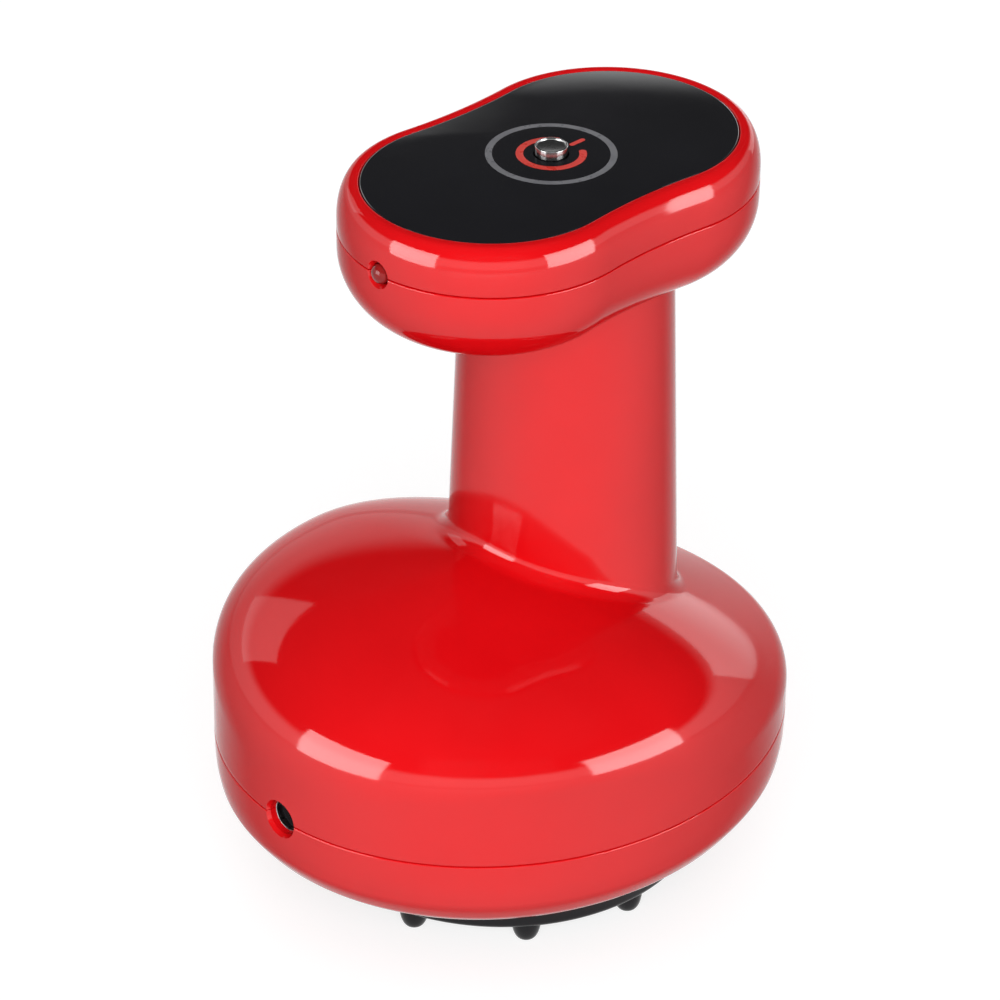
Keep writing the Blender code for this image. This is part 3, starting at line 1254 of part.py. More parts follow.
def release_valve():
    """Solenoid valve: body with its bore and port, plunger, spring and cap."""
    half = VALVE_SIDE / 2
    centre = Vector((-VALVE_X, VALVE_SETBACK, 0))
    body = box("valve_body", centre + Vector((-half, -half, VALVE_BOTTOM_HEIGHT)),
               centre + Vector((half, half, VALVE_TOP)), "black_part")
    port = centre + UP * (VALVE_BOTTOM_HEIGHT + VALVE_PORT_RISE)
    join(body, rod("valve_barb", BARB_RADIUS, port + ALONG_X * (half - EMBED),
                   port + ALONG_X * (half + BARB_LENGTH)))
    cut(body, rod("valve_bore", VALVE_BORE_RADIUS, centre + UP * VALVE_BORE_BOTTOM,
                  centre + UP * (VALVE_TOP + OVERRUN), sides=MEDIUM_SIDES),
        rod("valve_port", BARB_BORE, port, port + ALONG_X * (half + BARB_LENGTH + OVERRUN)),
        rod("valve_seat", VALVE_SEAT_RADIUS, port, centre + UP * (VALVE_BORE_BOTTOM + OVERRUN)))
    plunger_top = VALVE_PLUNGER_BOTTOM + VALVE_PLUNGER_LENGTH
    rod("valve_plunger", VALVE_BORE_RADIUS - GAP, centre + UP * VALVE_PLUNGER_BOTTOM,
        centre + UP * plunger_top, "brushed_steel", MEDIUM_SIDES)
    cap_bottom = VALVE_TOP + GAP
    cap = box("valve_cap", centre + Vector((-half, -half, cap_bottom)),
              centre + Vector((half, half, cap_bottom + VALVE_CAP_THICKNESS)), "brushed_steel")
    cut(cap, rod("valve_vent", VALVE_SEAT_RADIUS, centre + UP * (cap_bottom - OVERRUN),
                 centre + UP * (cap_bottom + VALVE_CAP_THICKNESS + OVERRUN)))
    valve_spring(centre, plunger_top + GAP, cap_bottom - GAP)


def valve_spring(centre, low, high):
    """Coil spring over the plunger."""
    per_turn = 8
    coil = VALVE_BORE_RADIUS - GAP - 2 * SPRING_WIRE_RADIUS
    first = low + SPRING_WIRE_RADIUS
    rise = high - low - 2 * SPRING_WIRE_RADIUS
    count = SPRING_TURNS * per_turn
    points = []
    for index in range(count + 1):
        angle = 2 * math.pi * index / per_turn
        height = first + rise * index / count
        points.append(centre + Vector((coil * math.cos(angle), coil * math.sin(angle), height)))
    return loft("valve_spring", tube_rings(points, SPRING_WIRE_RADIUS, 5), "zinc_screw")


def hoses():
    """Hoses from the nozzle up to the pump and across to the valve."""
    bore = BARB_RADIUS + GAP
    straight = BARB_LENGTH + GAP
    start = UP * (NOZZLE_SHOULDER + GAP)
    inlet = Vector((PUMP_X, -MOTOR_OFFSET + CASE_SIDE / 2 + GAP, PUMP_HEAD_BOTTOM + PUMP_PORT_RISE))
    route = bend(start, UP, inlet, ALONG_Y, straight, PUMP_HOSE_REACH, 8)
    hose("pump_hose", route, bore, HOSE_RADIUS, "silicone_clear")
    start = Vector((-NOZZLE_RADIUS - GAP, 0, NOZZLE_BRANCH_HEIGHT))
    port = Vector((-VALVE_X + VALVE_SIDE / 2 + GAP, VALVE_SETBACK, VALVE_BOTTOM_HEIGHT + VALVE_PORT_RISE))
    route = bend(start, -ALONG_X, port, ALONG_X, straight, VALVE_HOSE_REACH, 8)
    hose("valve_hose", route, bore, HOSE_RADIUS, "silicone_clear")


# Battery, board, leads and screws

def battery():
    """Round cell in the neck and the foam sleeve that wedges it, notched for the lead."""
    centre = Vector((0, NECK_SETBACK, 0))
    top = HEAD_BOTTOM_HEIGHT - CELL_TOP_ROOM
    rod("battery_cell", CELL_RADIUS, centre + UP * (top - CELL_LENGTH), centre + UP * top, "cell_sleeve",
        MEDIUM_SIDES)
    foam_top = top - FOAM_DROP
    inner = CELL_RADIUS + GAP
    profile = [
        (inner + FOAM_WALL, foam_top), (inner + FOAM_WALL, foam_top - FOAM_LENGTH),
        (inner, foam_top - FOAM_LENGTH), (inner, foam_top),
    ]
    foam = turned("battery_foam", profile, "foam_grey", centre)
    near = lead_passage() - LEAD_RADIUS - GAP
    far = inner + FOAM_WALL + OVERRUN
    foam_bottom = foam_top - FOAM_LENGTH
    cut(foam, box("foam_notch", centre + Vector((near, -FOAM_NOTCH_WIDTH / 2, foam_bottom - OVERRUN)),
                  centre + Vector((far, FOAM_NOTCH_WIDTH / 2, foam_top + OVERRUN))))


def main_board():
    """Driver board with its chip and choke."""
    half = MAIN_BOARD_WIDTH / 2
    top = MAIN_BOARD_HEIGHT + BOARD_THICKNESS
    box("main_board", (-half, MAIN_BOARD_SETBACK, MAIN_BOARD_HEIGHT),
        (half, MAIN_BOARD_SETBACK + MAIN_BOARD_LENGTH, top), "board_green")
    chip = Vector((0, MAIN_BOARD_SETBACK + MAIN_BOARD_LENGTH / 3, top + GAP))
    box("control_chip", chip - Vector((CHIP_SIZE / 2, CHIP_SIZE / 2, 0)),
        chip + Vector((CHIP_SIZE / 2, CHIP_SIZE / 2, CHIP_HEIGHT)), "black_part")
    choke = Vector((half / 2, MAIN_BOARD_SETBACK + MAIN_BOARD_LENGTH * 3 / 4, top + GAP))
    rod("power_inductor", INDUCTOR_RADIUS, choke, choke + UP * INDUCTOR_HEIGHT, "black_part")


def screw(name, seat, way, length):
    """A screw whose head stands on its seat, with its thread along the way given."""
    socket_floor = SCREW_HEAD_HEIGHT - SCREW_SOCKET_DEPTH
    profile = [
        (0, socket_floor), (SCREW_SOCKET_RADIUS, socket_floor), (SCREW_SOCKET_RADIUS, SCREW_HEAD_HEIGHT),
        (SCREW_HEAD_RADIUS, SCREW_HEAD_HEIGHT), (SCREW_HEAD_RADIUS, 0),
        (SCREW_RADIUS, 0), (SCREW_RADIUS, -length), (0, -length),
    ]
    turned(name, profile, "zinc_screw", seat, -way, SMALL_SIDES)


def screws():
    for index, degrees in enumerate(PLATE_SCREW_ANGLES, 1):
        seat = on_circle(PLATE_SCREW_CIRCLE, degrees, FLOOR_TOP_HEIGHT + GAP)
        screw(f"plate_screw_{index}", seat, -UP, PLATE_SCREW_LENGTH)
    for index, degrees in enumerate(BASE_SCREW_ANGLES, 1):
        seat = on_circle(BASE_SCREW_CIRCLE, degrees, BASE_SCREW_SEAT)
        screw(f"base_screw_{index}", seat, UP, BASE_SCREW_LENGTH)
    for index, side in enumerate((-1, 1), 1):
        seat = Vector((0, NECK_SETBACK + side * NECK_SCREW_CIRCLE, PAN_FLOOR_HEIGHT + GAP))
        screw(f"neck_screw_{index}", seat, -UP, NECK_SCREW_LENGTH)
        seat = Vector((*cover_screw_place(side), LEDGE_HEIGHT - SCREW_HEAD_HEIGHT))
        screw(f"cover_screw_{index}", seat, -UP, COVER_SCREW_LENGTH)


def leads():
    """The panel's lead down the neck to the main board."""
    x = lead_passage()
    cell_bottom = HEAD_BOTTOM_HEIGHT - CELL_TOP_ROOM - CELL_LENGTH
    board_top = MAIN_BOARD_HEIGHT + BOARD_THICKNESS + GAP
    board_end = (MAIN_BOARD_WIDTH / 2 - MAIN_BOARD_POST_INSET, MAIN_BOARD_SETBACK + MAIN_BOARD_LENGTH / 3)
    across = BUTTON_BOARD_WIDTH / 2 - 2 * LEAD_RADIUS
    return lead("panel_lead", [
        (across, NECK_SETBACK, BUTTON_BOARD_BOTTOM - GAP),
        (across, NECK_SETBACK, PAN_FLOOR_HEIGHT + 3 * SHELL_WALL),
        (x, NECK_SETBACK, HEAD_BOTTOM_HEIGHT),
        (x, NECK_SETBACK, (HEAD_BOTTOM_HEIGHT + cell_bottom) / 2),
        (x, NECK_SETBACK, cell_bottom),
        (*board_end, board_top + 2 * CHIP_SIZE / 3),
        (*board_end, board_top),
    ])


def main():
    head_top_cover()
    control_panel()
    power_button()
    button_switch()
    button_board()
    indicator_led()
    head_lower_cover()
    body_cover()
    base_lower_cover()
    charging_jack()
    massage_plate()
    massage_nubs()
    light_lens()
    light_board()
    suction_filter()
    suction_nozzle()
    motor()
    pump_eccentric()
    pump_crankcase()
    pump_rod()
    pump_diaphragm()
    pump_head()
    release_valve()
    hoses()
    battery()
    main_board()
    screws()
    leads()


main()
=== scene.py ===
"""Looks of the electric cupping massager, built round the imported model. Metres, +Z up."""
import json
import math

import bmesh
import bpy
import numpy as np
from mathutils import Matrix, Vector

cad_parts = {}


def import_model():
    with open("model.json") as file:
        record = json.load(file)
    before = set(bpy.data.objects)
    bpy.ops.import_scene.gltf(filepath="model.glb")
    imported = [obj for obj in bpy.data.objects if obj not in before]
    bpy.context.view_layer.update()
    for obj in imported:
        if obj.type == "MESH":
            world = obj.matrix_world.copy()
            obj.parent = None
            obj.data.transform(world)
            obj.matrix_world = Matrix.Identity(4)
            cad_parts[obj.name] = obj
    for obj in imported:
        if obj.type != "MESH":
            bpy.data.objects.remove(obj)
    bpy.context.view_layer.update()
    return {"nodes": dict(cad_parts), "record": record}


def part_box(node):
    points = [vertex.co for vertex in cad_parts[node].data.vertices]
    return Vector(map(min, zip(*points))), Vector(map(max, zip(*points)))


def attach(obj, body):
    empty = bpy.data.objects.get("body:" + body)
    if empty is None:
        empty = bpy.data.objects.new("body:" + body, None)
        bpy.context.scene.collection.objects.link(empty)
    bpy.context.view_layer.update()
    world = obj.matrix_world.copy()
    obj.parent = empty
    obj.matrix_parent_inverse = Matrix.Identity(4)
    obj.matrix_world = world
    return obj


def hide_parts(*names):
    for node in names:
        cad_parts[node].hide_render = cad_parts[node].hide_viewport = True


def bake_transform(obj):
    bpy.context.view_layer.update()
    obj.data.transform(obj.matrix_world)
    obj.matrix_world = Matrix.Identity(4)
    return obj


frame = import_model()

NODES = frame["nodes"]
MM = 0.001
UP = Vector((0, 0, 1))
ALONG_Y = Vector((0, 1, 0))

# Housing, as in the part's source
BASE_LENGTH, BASE_WIDTH = 100 * MM, 91 * MM
SEAM_HEIGHT = 26.4 * MM
SHOULDER_HEIGHT, DOME_HEIGHT = 33.3 * MM, 58.8 * MM
APEX_SETBACK, APEX_ROUNDING = 9.4 * MM, 0.5 * MM
SHOULDER_FILLET, FOOT_FILLET = 7 * MM, 2.7 * MM
NECK_SETBACK, NECK_TOP_RADIUS, NECK_DRAFT = 13.7 * MM, 17.45 * MM, math.radians(1.9)
HEAD_SETBACK, PANEL_HEIGHT = 9.6 * MM, 126 * MM
PANEL_LENGTH, PANEL_WIDTH, PANEL_WAIST = 67.9 * MM, 40.9 * MM, 39.3 * MM
PANEL_THICKNESS, PANEL_EDGE, PANEL_CLEARANCE = 1.5 * MM, 0.3 * MM, 0.12 * MM
HEAD_BOTTOM, HEAD_SEAM = 103 * MM, 118.2 * MM
HEAD_BULGE, HEAD_RIM = 3.65 * MM, 1.07 * MM
TOP_TURN_HEIGHT = 6 * MM
BOTTOM_TURN_HEIGHT, BOTTOM_TURN_WIDTH = 12 * MM, 12.5 * MM
LEDGE_HEIGHT, LEDGE_WIDTH, LEDGE_THICKNESS = 124.2 * MM, 7.2 * MM, 2 * MM
WALL, GAP = 2.2 * MM, 0.3 * MM
FLANK_CURVE, BACK_CURVE, FRONT_CURVE = (3.41, 1.03), (1.0, 1.37), (2.92, 1.34)
WALL_LEVELS = np.array([0.0, 0.07, 0.17, 0.30, 0.54, 0.77, 1.0])
WALL_SHARES = np.array([0.775, 0.838, 0.893, 0.940, 0.988, 0.998, 1.0])

# Seams, edges and the hidden inner faces
SEAM_GAP, SEAM_ROUND = 0.16 * MM, 0.22 * MM
NECK_OVERLAP = 0.1 * MM
BASE_EDGE, RECESS_EDGE = 0.5 * MM, 0.2 * MM
FLOOR_HOLE, FLOOR_TOP = 14.5 * MM, 13.9 * MM
LOWEST_OUTER_LEVEL, LOWEST_INNER_LEVEL = 0.03, 0.26
INNER_ROWS_LEFT_OUT = 8

# Prints on the panel
RING_INNER, RING_OUTER = 9.4 * MM, 10.5 * MM
ARC_INNER, ARC_OUTER, ARC_GAP = 4.45 * MM, 5.65 * MM, math.radians(35)
BAR_HALF_WIDTH, BAR_LOW, BAR_HIGH = 0.42 * MM, 4.2 * MM, 7.4 * MM
PRINT_THICKNESS, PRINT_STEPS = 0.03 * MM, 192

# Button
BUTTON_RADIUS, BUTTON_TOP, BUTTON_DISH = 2.62 * MM, 127.6 * MM, 0.4 * MM
BUTTON_RIM, BUTTON_EDGE, BUTTON_CLEARANCE = 0.22 * MM, 0.1 * MM, 0.25 * MM
DISH_MARGIN, DISH_LIP_WIDTH, DISH_LIP_DEPTH, DISH_RISE = 0.12 * MM, 0.04 * MM, 0.06 * MM, 0.35
FLANGE_RADIUS, FLANGE_TOP, FLANGE_BOTTOM = 3.8 * MM, PANEL_HEIGHT - 1.8 * MM, PANEL_HEIGHT - 2.8 * MM
STEM_RADIUS, STEM_BOTTOM = 1.5 * MM, PANEL_HEIGHT - 4.6 * MM

# Lamp and socket, and the sunk holes in front of them. The lamp's dome and the socket's sink follow the
# photo and are a little off the part's source.
LAMP_RADIUS, LAMP_HOLE, LAMP_SINK = 1.5 * MM, 1.8 * MM, 2.35 * MM
LAMP_FORWARD, LAMP_WIDER, LAMP_CROWN = 0.45 * MM, 0.15 * MM, 1.2 * MM
LAMP_STEP_LOW, LAMP_STEP_HIGH = 1.3 * MM, 1.4 * MM
LAMP_FLANGE_RADIUS, LAMP_FLANGE_HEIGHT, LAMP_FLANGE_EDGE = 1.95 * MM, 1 * MM, 0.05 * MM
JACK_HOLE, JACK_SINK, JACK_BORE, JACK_BORE_DEPTH = 3 * MM, 3.4 * MM, 2.75 * MM, 9 * MM
JACK_EDGE = 0.35 * MM
SLEEVE_OUTER, SLEEVE_INNER = JACK_HOLE - 0.04 * MM, JACK_HOLE - 0.22 * MM
SLEEVE_SEAT, SLEEVE_REACH, SLEEVE_EDGE = 0.01 * MM, 1.2 * MM, 0.06 * MM
PIN_RADIUS, PIN_SHOULDER, PIN_CROWN, PIN_END = 1 * MM, -3.2 * MM, 0.5 * MM, -8.9 * MM
SINK_DEPTH, LIP_WIDTH, LIP_HEIGHT = 0.8 * MM, 0.04 * MM, 0.05 * MM
OVERCUT, HOLE_DEPTH, BUTTON_HOLE_DEPTH = 1 * MM, 4 * MM, 3 * MM

# Underside
NUB_REACH, NUB_RADIUS, NUB_TIP, NUB_CIRCLE, NUB_COUNT = 3.9 * MM, 2.5 * MM, 1 * MM, 30.4 * MM, 10
NUB_SEAT, NUB_EDGE, NUB_CLEARANCE = 2.7 * MM, 0.1 * MM, 0.1 * MM
UNDERSIDE, PLATE_TOP, CEILING = 9.6 * MM, 11.4 * MM, 9 * MM
PLATE_RADIUS, PLATE_EDGE, PLATE_TOP_EDGE = 33.9 * MM, 1.2 * MM, 0.2 * MM
CUP_MOUTH, CUP_INNER, CUP_LIP = 27 * MM, 23.4 * MM, 0.6 * MM
LENS_RADIUS, LENS_FLANGE, LENS_TOP = 12.1 * MM, 14.2 * MM, 12.7 * MM
LENS_EDGE, LENS_HOLE_EDGE = 0.3 * MM, 0.15 * MM
WELL_TOP, WELL_HOLE = CEILING + 2.3 * MM, 3.3 * MM
FILTER_RADIUS, FILTER_THICKNESS, FILTER_EDGE = 7 * MM, 0.7 * MM, 0.15 * MM
VENT_COUNT, VENT_CIRCLE, VENT_RADIUS, VENT_LOW, VENT_HIGH = 6, 4.2 * MM, 0.8 * MM, 8 * MM, 11 * MM

# Soft pieces inside
DIAPHRAGM_RADIUS, DIAPHRAGM_THICKNESS, DIAPHRAGM_DISH = 8.2 * MM, 1 * MM, 1.2 * MM
DIAPHRAGM_EDGE, ROD_DISC_RADIUS = 0.1 * MM, 3.2 * MM
SPRING_WIRE_RADIUS, SPRING_TURNS, SPRING_STEPS, SPRING_SIDES = 0.25 * MM, 4, 28, 10

# How finely the visible surfaces are made
AROUND = 320
ROWS = 84
BISECTIONS = 44
DOME_SAMPLES = 600
SHOULDER_STEPS, FOOT_STEPS, NECK_ROWS = 24, 10, 12
OUTER_WALL_ROWS, INNER_WALL_ROWS = 60, 20
SOCKET_SIDES = 64

# The photo's camera: angles in degrees, lens and sensor in mm
CAMERA_AZIMUTH, CAMERA_ELEVATION, CAMERA_ROLL = 45.49, 31.34, 0.66
CAMERA_TARGET, CAMERA_DISTANCE = Vector((-0.89 * MM, 0, 65.5 * MM)), 785 * MM
CAMERA_LENS, CAMERA_SENSOR = 172.8, 36

# Light: angles in degrees from the front and the level, sizes in metres
LAMP_DISTANCE, LAMP_CENTRE = 0.9, Vector((0, 0, 70 * MM))
SOFTBOXES = (
    # Name, azimuth, elevation, width, height, radiance, and whether it shows in gloss
    ("left_box", -11, 9, 0.60, 0.50, 6.5, True),
    ("right_box", 107, 9, 0.64, 0.50, 6.5, True),
    ("front_key", 47, 22, 0.80, 0.60, 5.15, False),
    ("back_card", -164, 5, 0.52, 0.26, 2.4, True),
    ("left_card", -88, 21, 0.42, 0.34, 1.3, True),
    ("back_fill", 225, 22, 0.80, 0.60, 2.2, False),
)
OVERHEAD_AZIMUTH, OVERHEAD_ELEVATION, OVERHEAD_ENERGY, OVERHEAD_ANGLE = 45, 72, 1.15, 70
FLOOR_HALF_SIZE, FLOOR_LIFT = 6.0, 0.78
HORIZON_STRENGTH, SKY_STRENGTH, HORIZON_TOP, SKY_BOTTOM = 1.4, 0.05, 12, 20
WORLD_FILL = 0.25

# Finish
COLOUR_SPREAD, GLOSS_SPREAD = (0.35, 0.65), (0.3, 0.7)
EDGE_START, EDGE_END = 0.22, 0.62
COAT_ROUGHNESS, GRAIN_STRENGTH = 0.03, 0.3


# Materials

def shader_of(name):
    """A new material with its node tree, its Principled shader and its object coordinates."""
    material = bpy.data.materials.new(name)
    material.use_nodes = True
    tree = material.node_tree
    coords = tree.nodes.new("ShaderNodeTexCoord")
    return material, tree, tree.nodes["Principled BSDF"], coords.outputs["Object"]


def noise(tree, coords, scale, detail=3.0, stretch=None):
    """A noise texture's value, stretched along the axes where asked."""
    if stretch:
        mapping = tree.nodes.new("ShaderNodeMapping")
        mapping.inputs["Scale"].default_value = stretch
        tree.links.new(coords, mapping.inputs["Vector"])
        coords = mapping.outputs["Vector"]
    texture = tree.nodes.new("ShaderNodeTexNoise")
    texture.inputs["Scale"].default_value = scale
    texture.inputs["Detail"].default_value = detail
    tree.links.new(coords, texture.inputs["Vector"])
    return texture.outputs["Fac"]


def ramp(tree, value, first, second):
    """Two colours over a value."""
    node = tree.nodes.new("ShaderNodeValToRGB")
    for element, position, colour in zip(node.color_ramp.elements, COLOUR_SPREAD, (first, second)):
        element.position, element.color = position, (*colour, 1.0)
    tree.links.new(value, node.inputs["Fac"])
    return node.outputs["Color"]


def spread(tree, value, low, high):
    """A value's middle range mapped to between two numbers."""
    node = tree.nodes.new("ShaderNodeMapRange")
    node.inputs["From Min"].default_value, node.inputs["From Max"].default_value = GLOSS_SPREAD
    node.inputs["To Min"].default_value, node.inputs["To Max"].default_value = low, high
    tree.links.new(value, node.inputs["Value"])
    return node.outputs["Result"]


def softer_edges(material, facing, grazing):
    """Less gloss where the surface turns away, as beside dark studio flags."""
    tree = material.node_tree
    weight, level = tree.nodes.new("ShaderNodeLayerWeight"), tree.nodes.new("ShaderNodeMapRange")
    level.interpolation_type = "SMOOTHSTEP"
    level.inputs["From Min"].default_value, level.inputs["From Max"].default_value = EDGE_START, EDGE_END
    level.inputs["To Min"].default_value, level.inputs["To Max"].default_value = facing, grazing
    tree.links.new(weight.outputs["Facing"], level.inputs["Value"])
    tree.links.new(level.outputs["Result"], tree.nodes["Principled BSDF"].inputs["Specular IOR Level"])


def bumped(tree, shader, value, depth):
    """Fine grain on a shader from a value."""
    node = tree.nodes.new("ShaderNodeBump")
    node.inputs["Distance"].default_value = depth
    node.inputs["Strength"].default_value = GRAIN_STRENGTH
    tree.links.new(value, node.inputs["Height"])
    tree.links.new(node.outputs["Normal"], shader.inputs["Normal"])


def moulded(name, first, second, roughness, scale=45.0, grain=0.0, grain_scale=900.0, metallic=0.0,
            stretch=None, specular=0.5, coat=0.0):
    """Plastic, rubber or metal whose colour and gloss drift a little over the surface."""
    material, tree, shader, coords = shader_of(name)
    tree.links.new(ramp(tree, noise(tree, coords, scale), first, second), shader.inputs["Base Color"])
    tree.links.new(spread(tree, noise(tree, coords, scale * 3, 4.0, stretch), *roughness),
                   shader.inputs["Roughness"])
    shader.inputs["Metallic"].default_value = metallic
    shader.inputs["Specular IOR Level"].default_value = specular
    shader.inputs["Coat Weight"].default_value = coat
    shader.inputs["Coat Roughness"].default_value = COAT_ROUGHNESS
    if grain:
        bumped(tree, shader, noise(tree, coords, grain_scale, 2.0, stretch), grain)
    return material


RED = moulded("red_gloss_abs", (0.70, 0.0035, 0.006), (0.77, 0.005, 0.008), (0.05, 0.09), 28.0,
              0.00003, 160.0)
softer_edges(RED, 0.5, 0.05)
MATERIALS = {
    "red_shell": RED,
    "black_panel": moulded("panel_black", (0.008, 0.008, 0.010), (0.012, 0.012, 0.015), (0.05, 0.09), 30.0,
                           0.00001, 300.0, coat=0.3),
    "black_plate": moulded("plate_black", (0.007, 0.007, 0.008), (0.010, 0.010, 0.012), (0.14, 0.22), 60.0,
                           0.00001, 700.0, specular=0.2),
    "button_metal": moulded("turned_steel", (0.42, 0.42, 0.42), (0.52, 0.52, 0.52), (0.17, 0.24), 120.0,
                            0.000004, 1500.0, metallic=1.0, stretch=(0.3, 0.3, 12.0)),
    "lamp_lens": moulded("lamp_clear", (0.24, 0.006, 0.008), (0.34, 0.014, 0.014), (0.02, 0.05), 200.0,
                        specular=0.25),
    "light_lens": moulded("lens_red", (0.30, 0.008, 0.010), (0.40, 0.014, 0.016), (0.06, 0.12), 80.0,
                          coat=0.4),
    "inner_black": moulded("inner_black", (0.016, 0.016, 0.017), (0.028, 0.028, 0.030), (0.38, 0.55), 120.0,
                           0.00003),
    "grey_plastic": moulded("grey_plastic", (0.26, 0.26, 0.27), (0.33, 0.33, 0.34), (0.40, 0.55), 120.0,
                            0.00003),
    "white_plastic": moulded("white_plastic", (0.70, 0.70, 0.67), (0.80, 0.80, 0.77), (0.35, 0.5), 110.0,
                             0.00003),
    "circuit_board": moulded("board_green", (0.018, 0.13, 0.05), (0.03, 0.20, 0.075), (0.3, 0.5), 260.0,
                             0.00003, 1400.0),
    "steel": moulded("plain_steel", (0.50, 0.50, 0.51), (0.62, 0.62, 0.63), (0.22, 0.36), 90.0, 0.00002,
                     1200.0, metallic=1.0, stretch=(12.0, 1.0, 1.0)),
    "screw_steel": moulded("zinc_steel", (0.45, 0.45, 0.44), (0.60, 0.59, 0.56), (0.25, 0.42), 400.0,
                           metallic=1.0),
    "cell_sleeve": moulded("cell_sleeve", (0.03, 0.12, 0.38), (0.05, 0.17, 0.48), (0.22, 0.36), 60.0,
                           0.00003),
    "foam": moulded("foam_grey", (0.06, 0.06, 0.06), (0.13, 0.13, 0.13), (0.9, 1.0), 700.0, 0.0003, 1500.0),
    "rubber": moulded("rubber_black", (0.012, 0.012, 0.012), (0.022, 0.022, 0.022), (0.6, 0.8), 200.0,
                      0.00004),
    "silicone": moulded("silicone_grey", (0.60, 0.61, 0.61), (0.70, 0.71, 0.71), (0.28, 0.42), 130.0,
                        0.00002),
    "lead_sleeve": moulded("lead_sleeve", (0.10, 0.10, 0.11), (0.16, 0.16, 0.17), (0.4, 0.55), 200.0,
                           0.00002),
}
LAMP = MATERIALS["lamp_lens"].node_tree.nodes["Principled BSDF"]
LAMP.inputs["Transmission Weight"].default_value = 0.12
LAMP.inputs["IOR"].default_value = 1.49
RING_PRINT = moulded("print_grey", (0.150, 0.150, 0.165), (0.185, 0.185, 0.200), (0.25, 0.38), 300.0)
RED_PRINT = moulded("print_red", (0.72, 0.040, 0.026), (0.78, 0.046, 0.032), (0.26, 0.34), 120.0)
for entry in frame["record"]["subparts"]:
    mesh = NODES[entry["node"]].data
    mesh.materials.clear()
    mesh.materials.append(MATERIALS[entry["material_slot"]])


# Mesh building

def add_mesh(name, shape, material, sharp=35):
    """An object from a bmesh, smooth but for edges sharper than the angle given."""
    bmesh.ops.recalc_face_normals(shape, faces=shape.faces)
    data = bpy.data.meshes.new(name)
    shape.to_mesh(data)
    shape.free()
    item = bpy.data.objects.new(name, data)
    bpy.context.scene.collection.objects.link(item)
    if material:
        data.materials.append(material)
        data.shade_smooth()
        data.set_sharp_from_angle(angle=math.radians(sharp))
    return item


def loft(name, rings, material, ends="caps", sharp=35):
    """A surface through rings of equally many points. Its ends get caps, or meet."""
    rings = [np.asarray(ring, float) for ring in rings]
    shape = bmesh.new()
    rows = [[shape.verts.new(point) for point in ring] for ring in rings]
    pairs = list(zip(rows, rows[1:]))
    if ends == "meet":
        pairs.append((rows[-1], rows[0]))
    else:
        shape.faces.new(list(reversed(rows[0])))
        shape.faces.new(rows[-1])
    count = len(rows[0])
    for lower, upper in pairs:
        for index in range(count):
            after = (index + 1) % count
            shape.faces.new((lower[index], lower[after], upper[after], upper[index]))
    return add_mesh(name, shape, material, sharp)


def turned(name, profile, material, place=(0, 0, 0), axis=UP, sides=96, sharp=35):
    """A profile of (radius, height) points turned round an axis. It closes on itself unless both its
    ends lie on the axis."""
    shape = bmesh.new()
    turn = Matrix.Translation(place) @ axis.to_track_quat("Z", "Y").to_matrix().to_4x4()
    angles = np.arange(sides) * 2 * math.pi / sides
    rows = []
    for radius, height in profile:
        if radius <= 0:
            rows.append([shape.verts.new(turn @ Vector((0, 0, height)))])
        else:
            rows.append([
                shape.verts.new(turn @ Vector((radius * math.cos(a), radius * math.sin(a), height)))
                for a in angles
            ])
    pairs = list(zip(rows, rows[1:]))
    if profile[0][0] > 0:
        pairs.append((rows[-1], rows[0]))
    for first, second in pairs:
        for index in range(sides):
            after = (index + 1) % sides
            corners = [first[index % len(first)], first[after % len(first)],
                       second[after % len(second)], second[index % len(second)]]
            shape.faces.new(list(dict.fromkeys(corners)))
    return add_mesh(name, shape, material, sharp)


def plug(name, radius, low, high, place, sides, axis=UP):
    """A round cutter between two heights over its place."""
    return turned(name, [(0, high), (radius, high), (radius, low), (0, low)], None, place, axis, sides)


def places_round(count, circle):
    """Places at even steps on a circle round the middle of the underside."""
    for index in range(count):
        angle = 2 * math.pi * index / count
        yield circle * math.cos(angle), circle * math.sin(angle), 0


def carve(item, *cutters):
    """Cut other objects out of this one for good."""
    for cutter in cutters:
        boolean = item.modifiers.new(cutter.name, "BOOLEAN")
        boolean.operation, boolean.solver, boolean.object = "DIFFERENCE", "EXACT", cutter
    shown = item.evaluated_get(bpy.context.evaluated_depsgraph_get())
    fresh = bpy.data.meshes.new_from_object(shown)
    item.modifiers.clear()
    item.data = fresh
    for cutter in cutters:
        bpy.data.objects.remove(cutter)


def place_piece(item, body, slot, *nodes):
    """The piece rides on a body and stands for the nodes given. Its slot is not used."""
    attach(item, body)
    if nodes:
        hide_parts(*nodes)
    return item


def quarter(steps):
    """Angles over a quarter turn."""
    return [math.pi / 2 * step / steps for step in range(steps + 1)]


# Outlines

def base_angles():
    return np.arange(AROUND) * 2 * math.pi / AROUND


def wall_share(level):
    """The base's width at a level as a share of its full width, on a smooth curve."""
    slopes = np.diff(WALL_SHARES) / np.diff(WALL_LEVELS)
    ends = np.concatenate([[slopes[0] * 1.3], 2 / (1 / slopes[:-1] + 1 / slopes[1:]), [0.0]])
    place = min(int(np.searchsorted(WALL_LEVELS, level, side="right")) - 1, len(slopes) - 1)
    place = max(place, 0)
    width = WALL_LEVELS[place + 1] - WALL_LEVELS[place]
    t = (level - WALL_LEVELS[place]) / width
    return (WALL_SHARES[place] * (1 + 2 * t) * (1 - t) ** 2 + ends[place] * width * t * (1 - t) ** 2
            + WALL_SHARES[place + 1] * t * t * (3 - 2 * t) + ends[place + 1] * width * t * t * (t - 1))


def level_ring(across, along, height):
    """Points round an oval of two half axes, at a height."""
    angles = base_angles()
    return np.stack([across * np.cos(angles), along * np.sin(angles), np.full(AROUND, height)], axis=1)


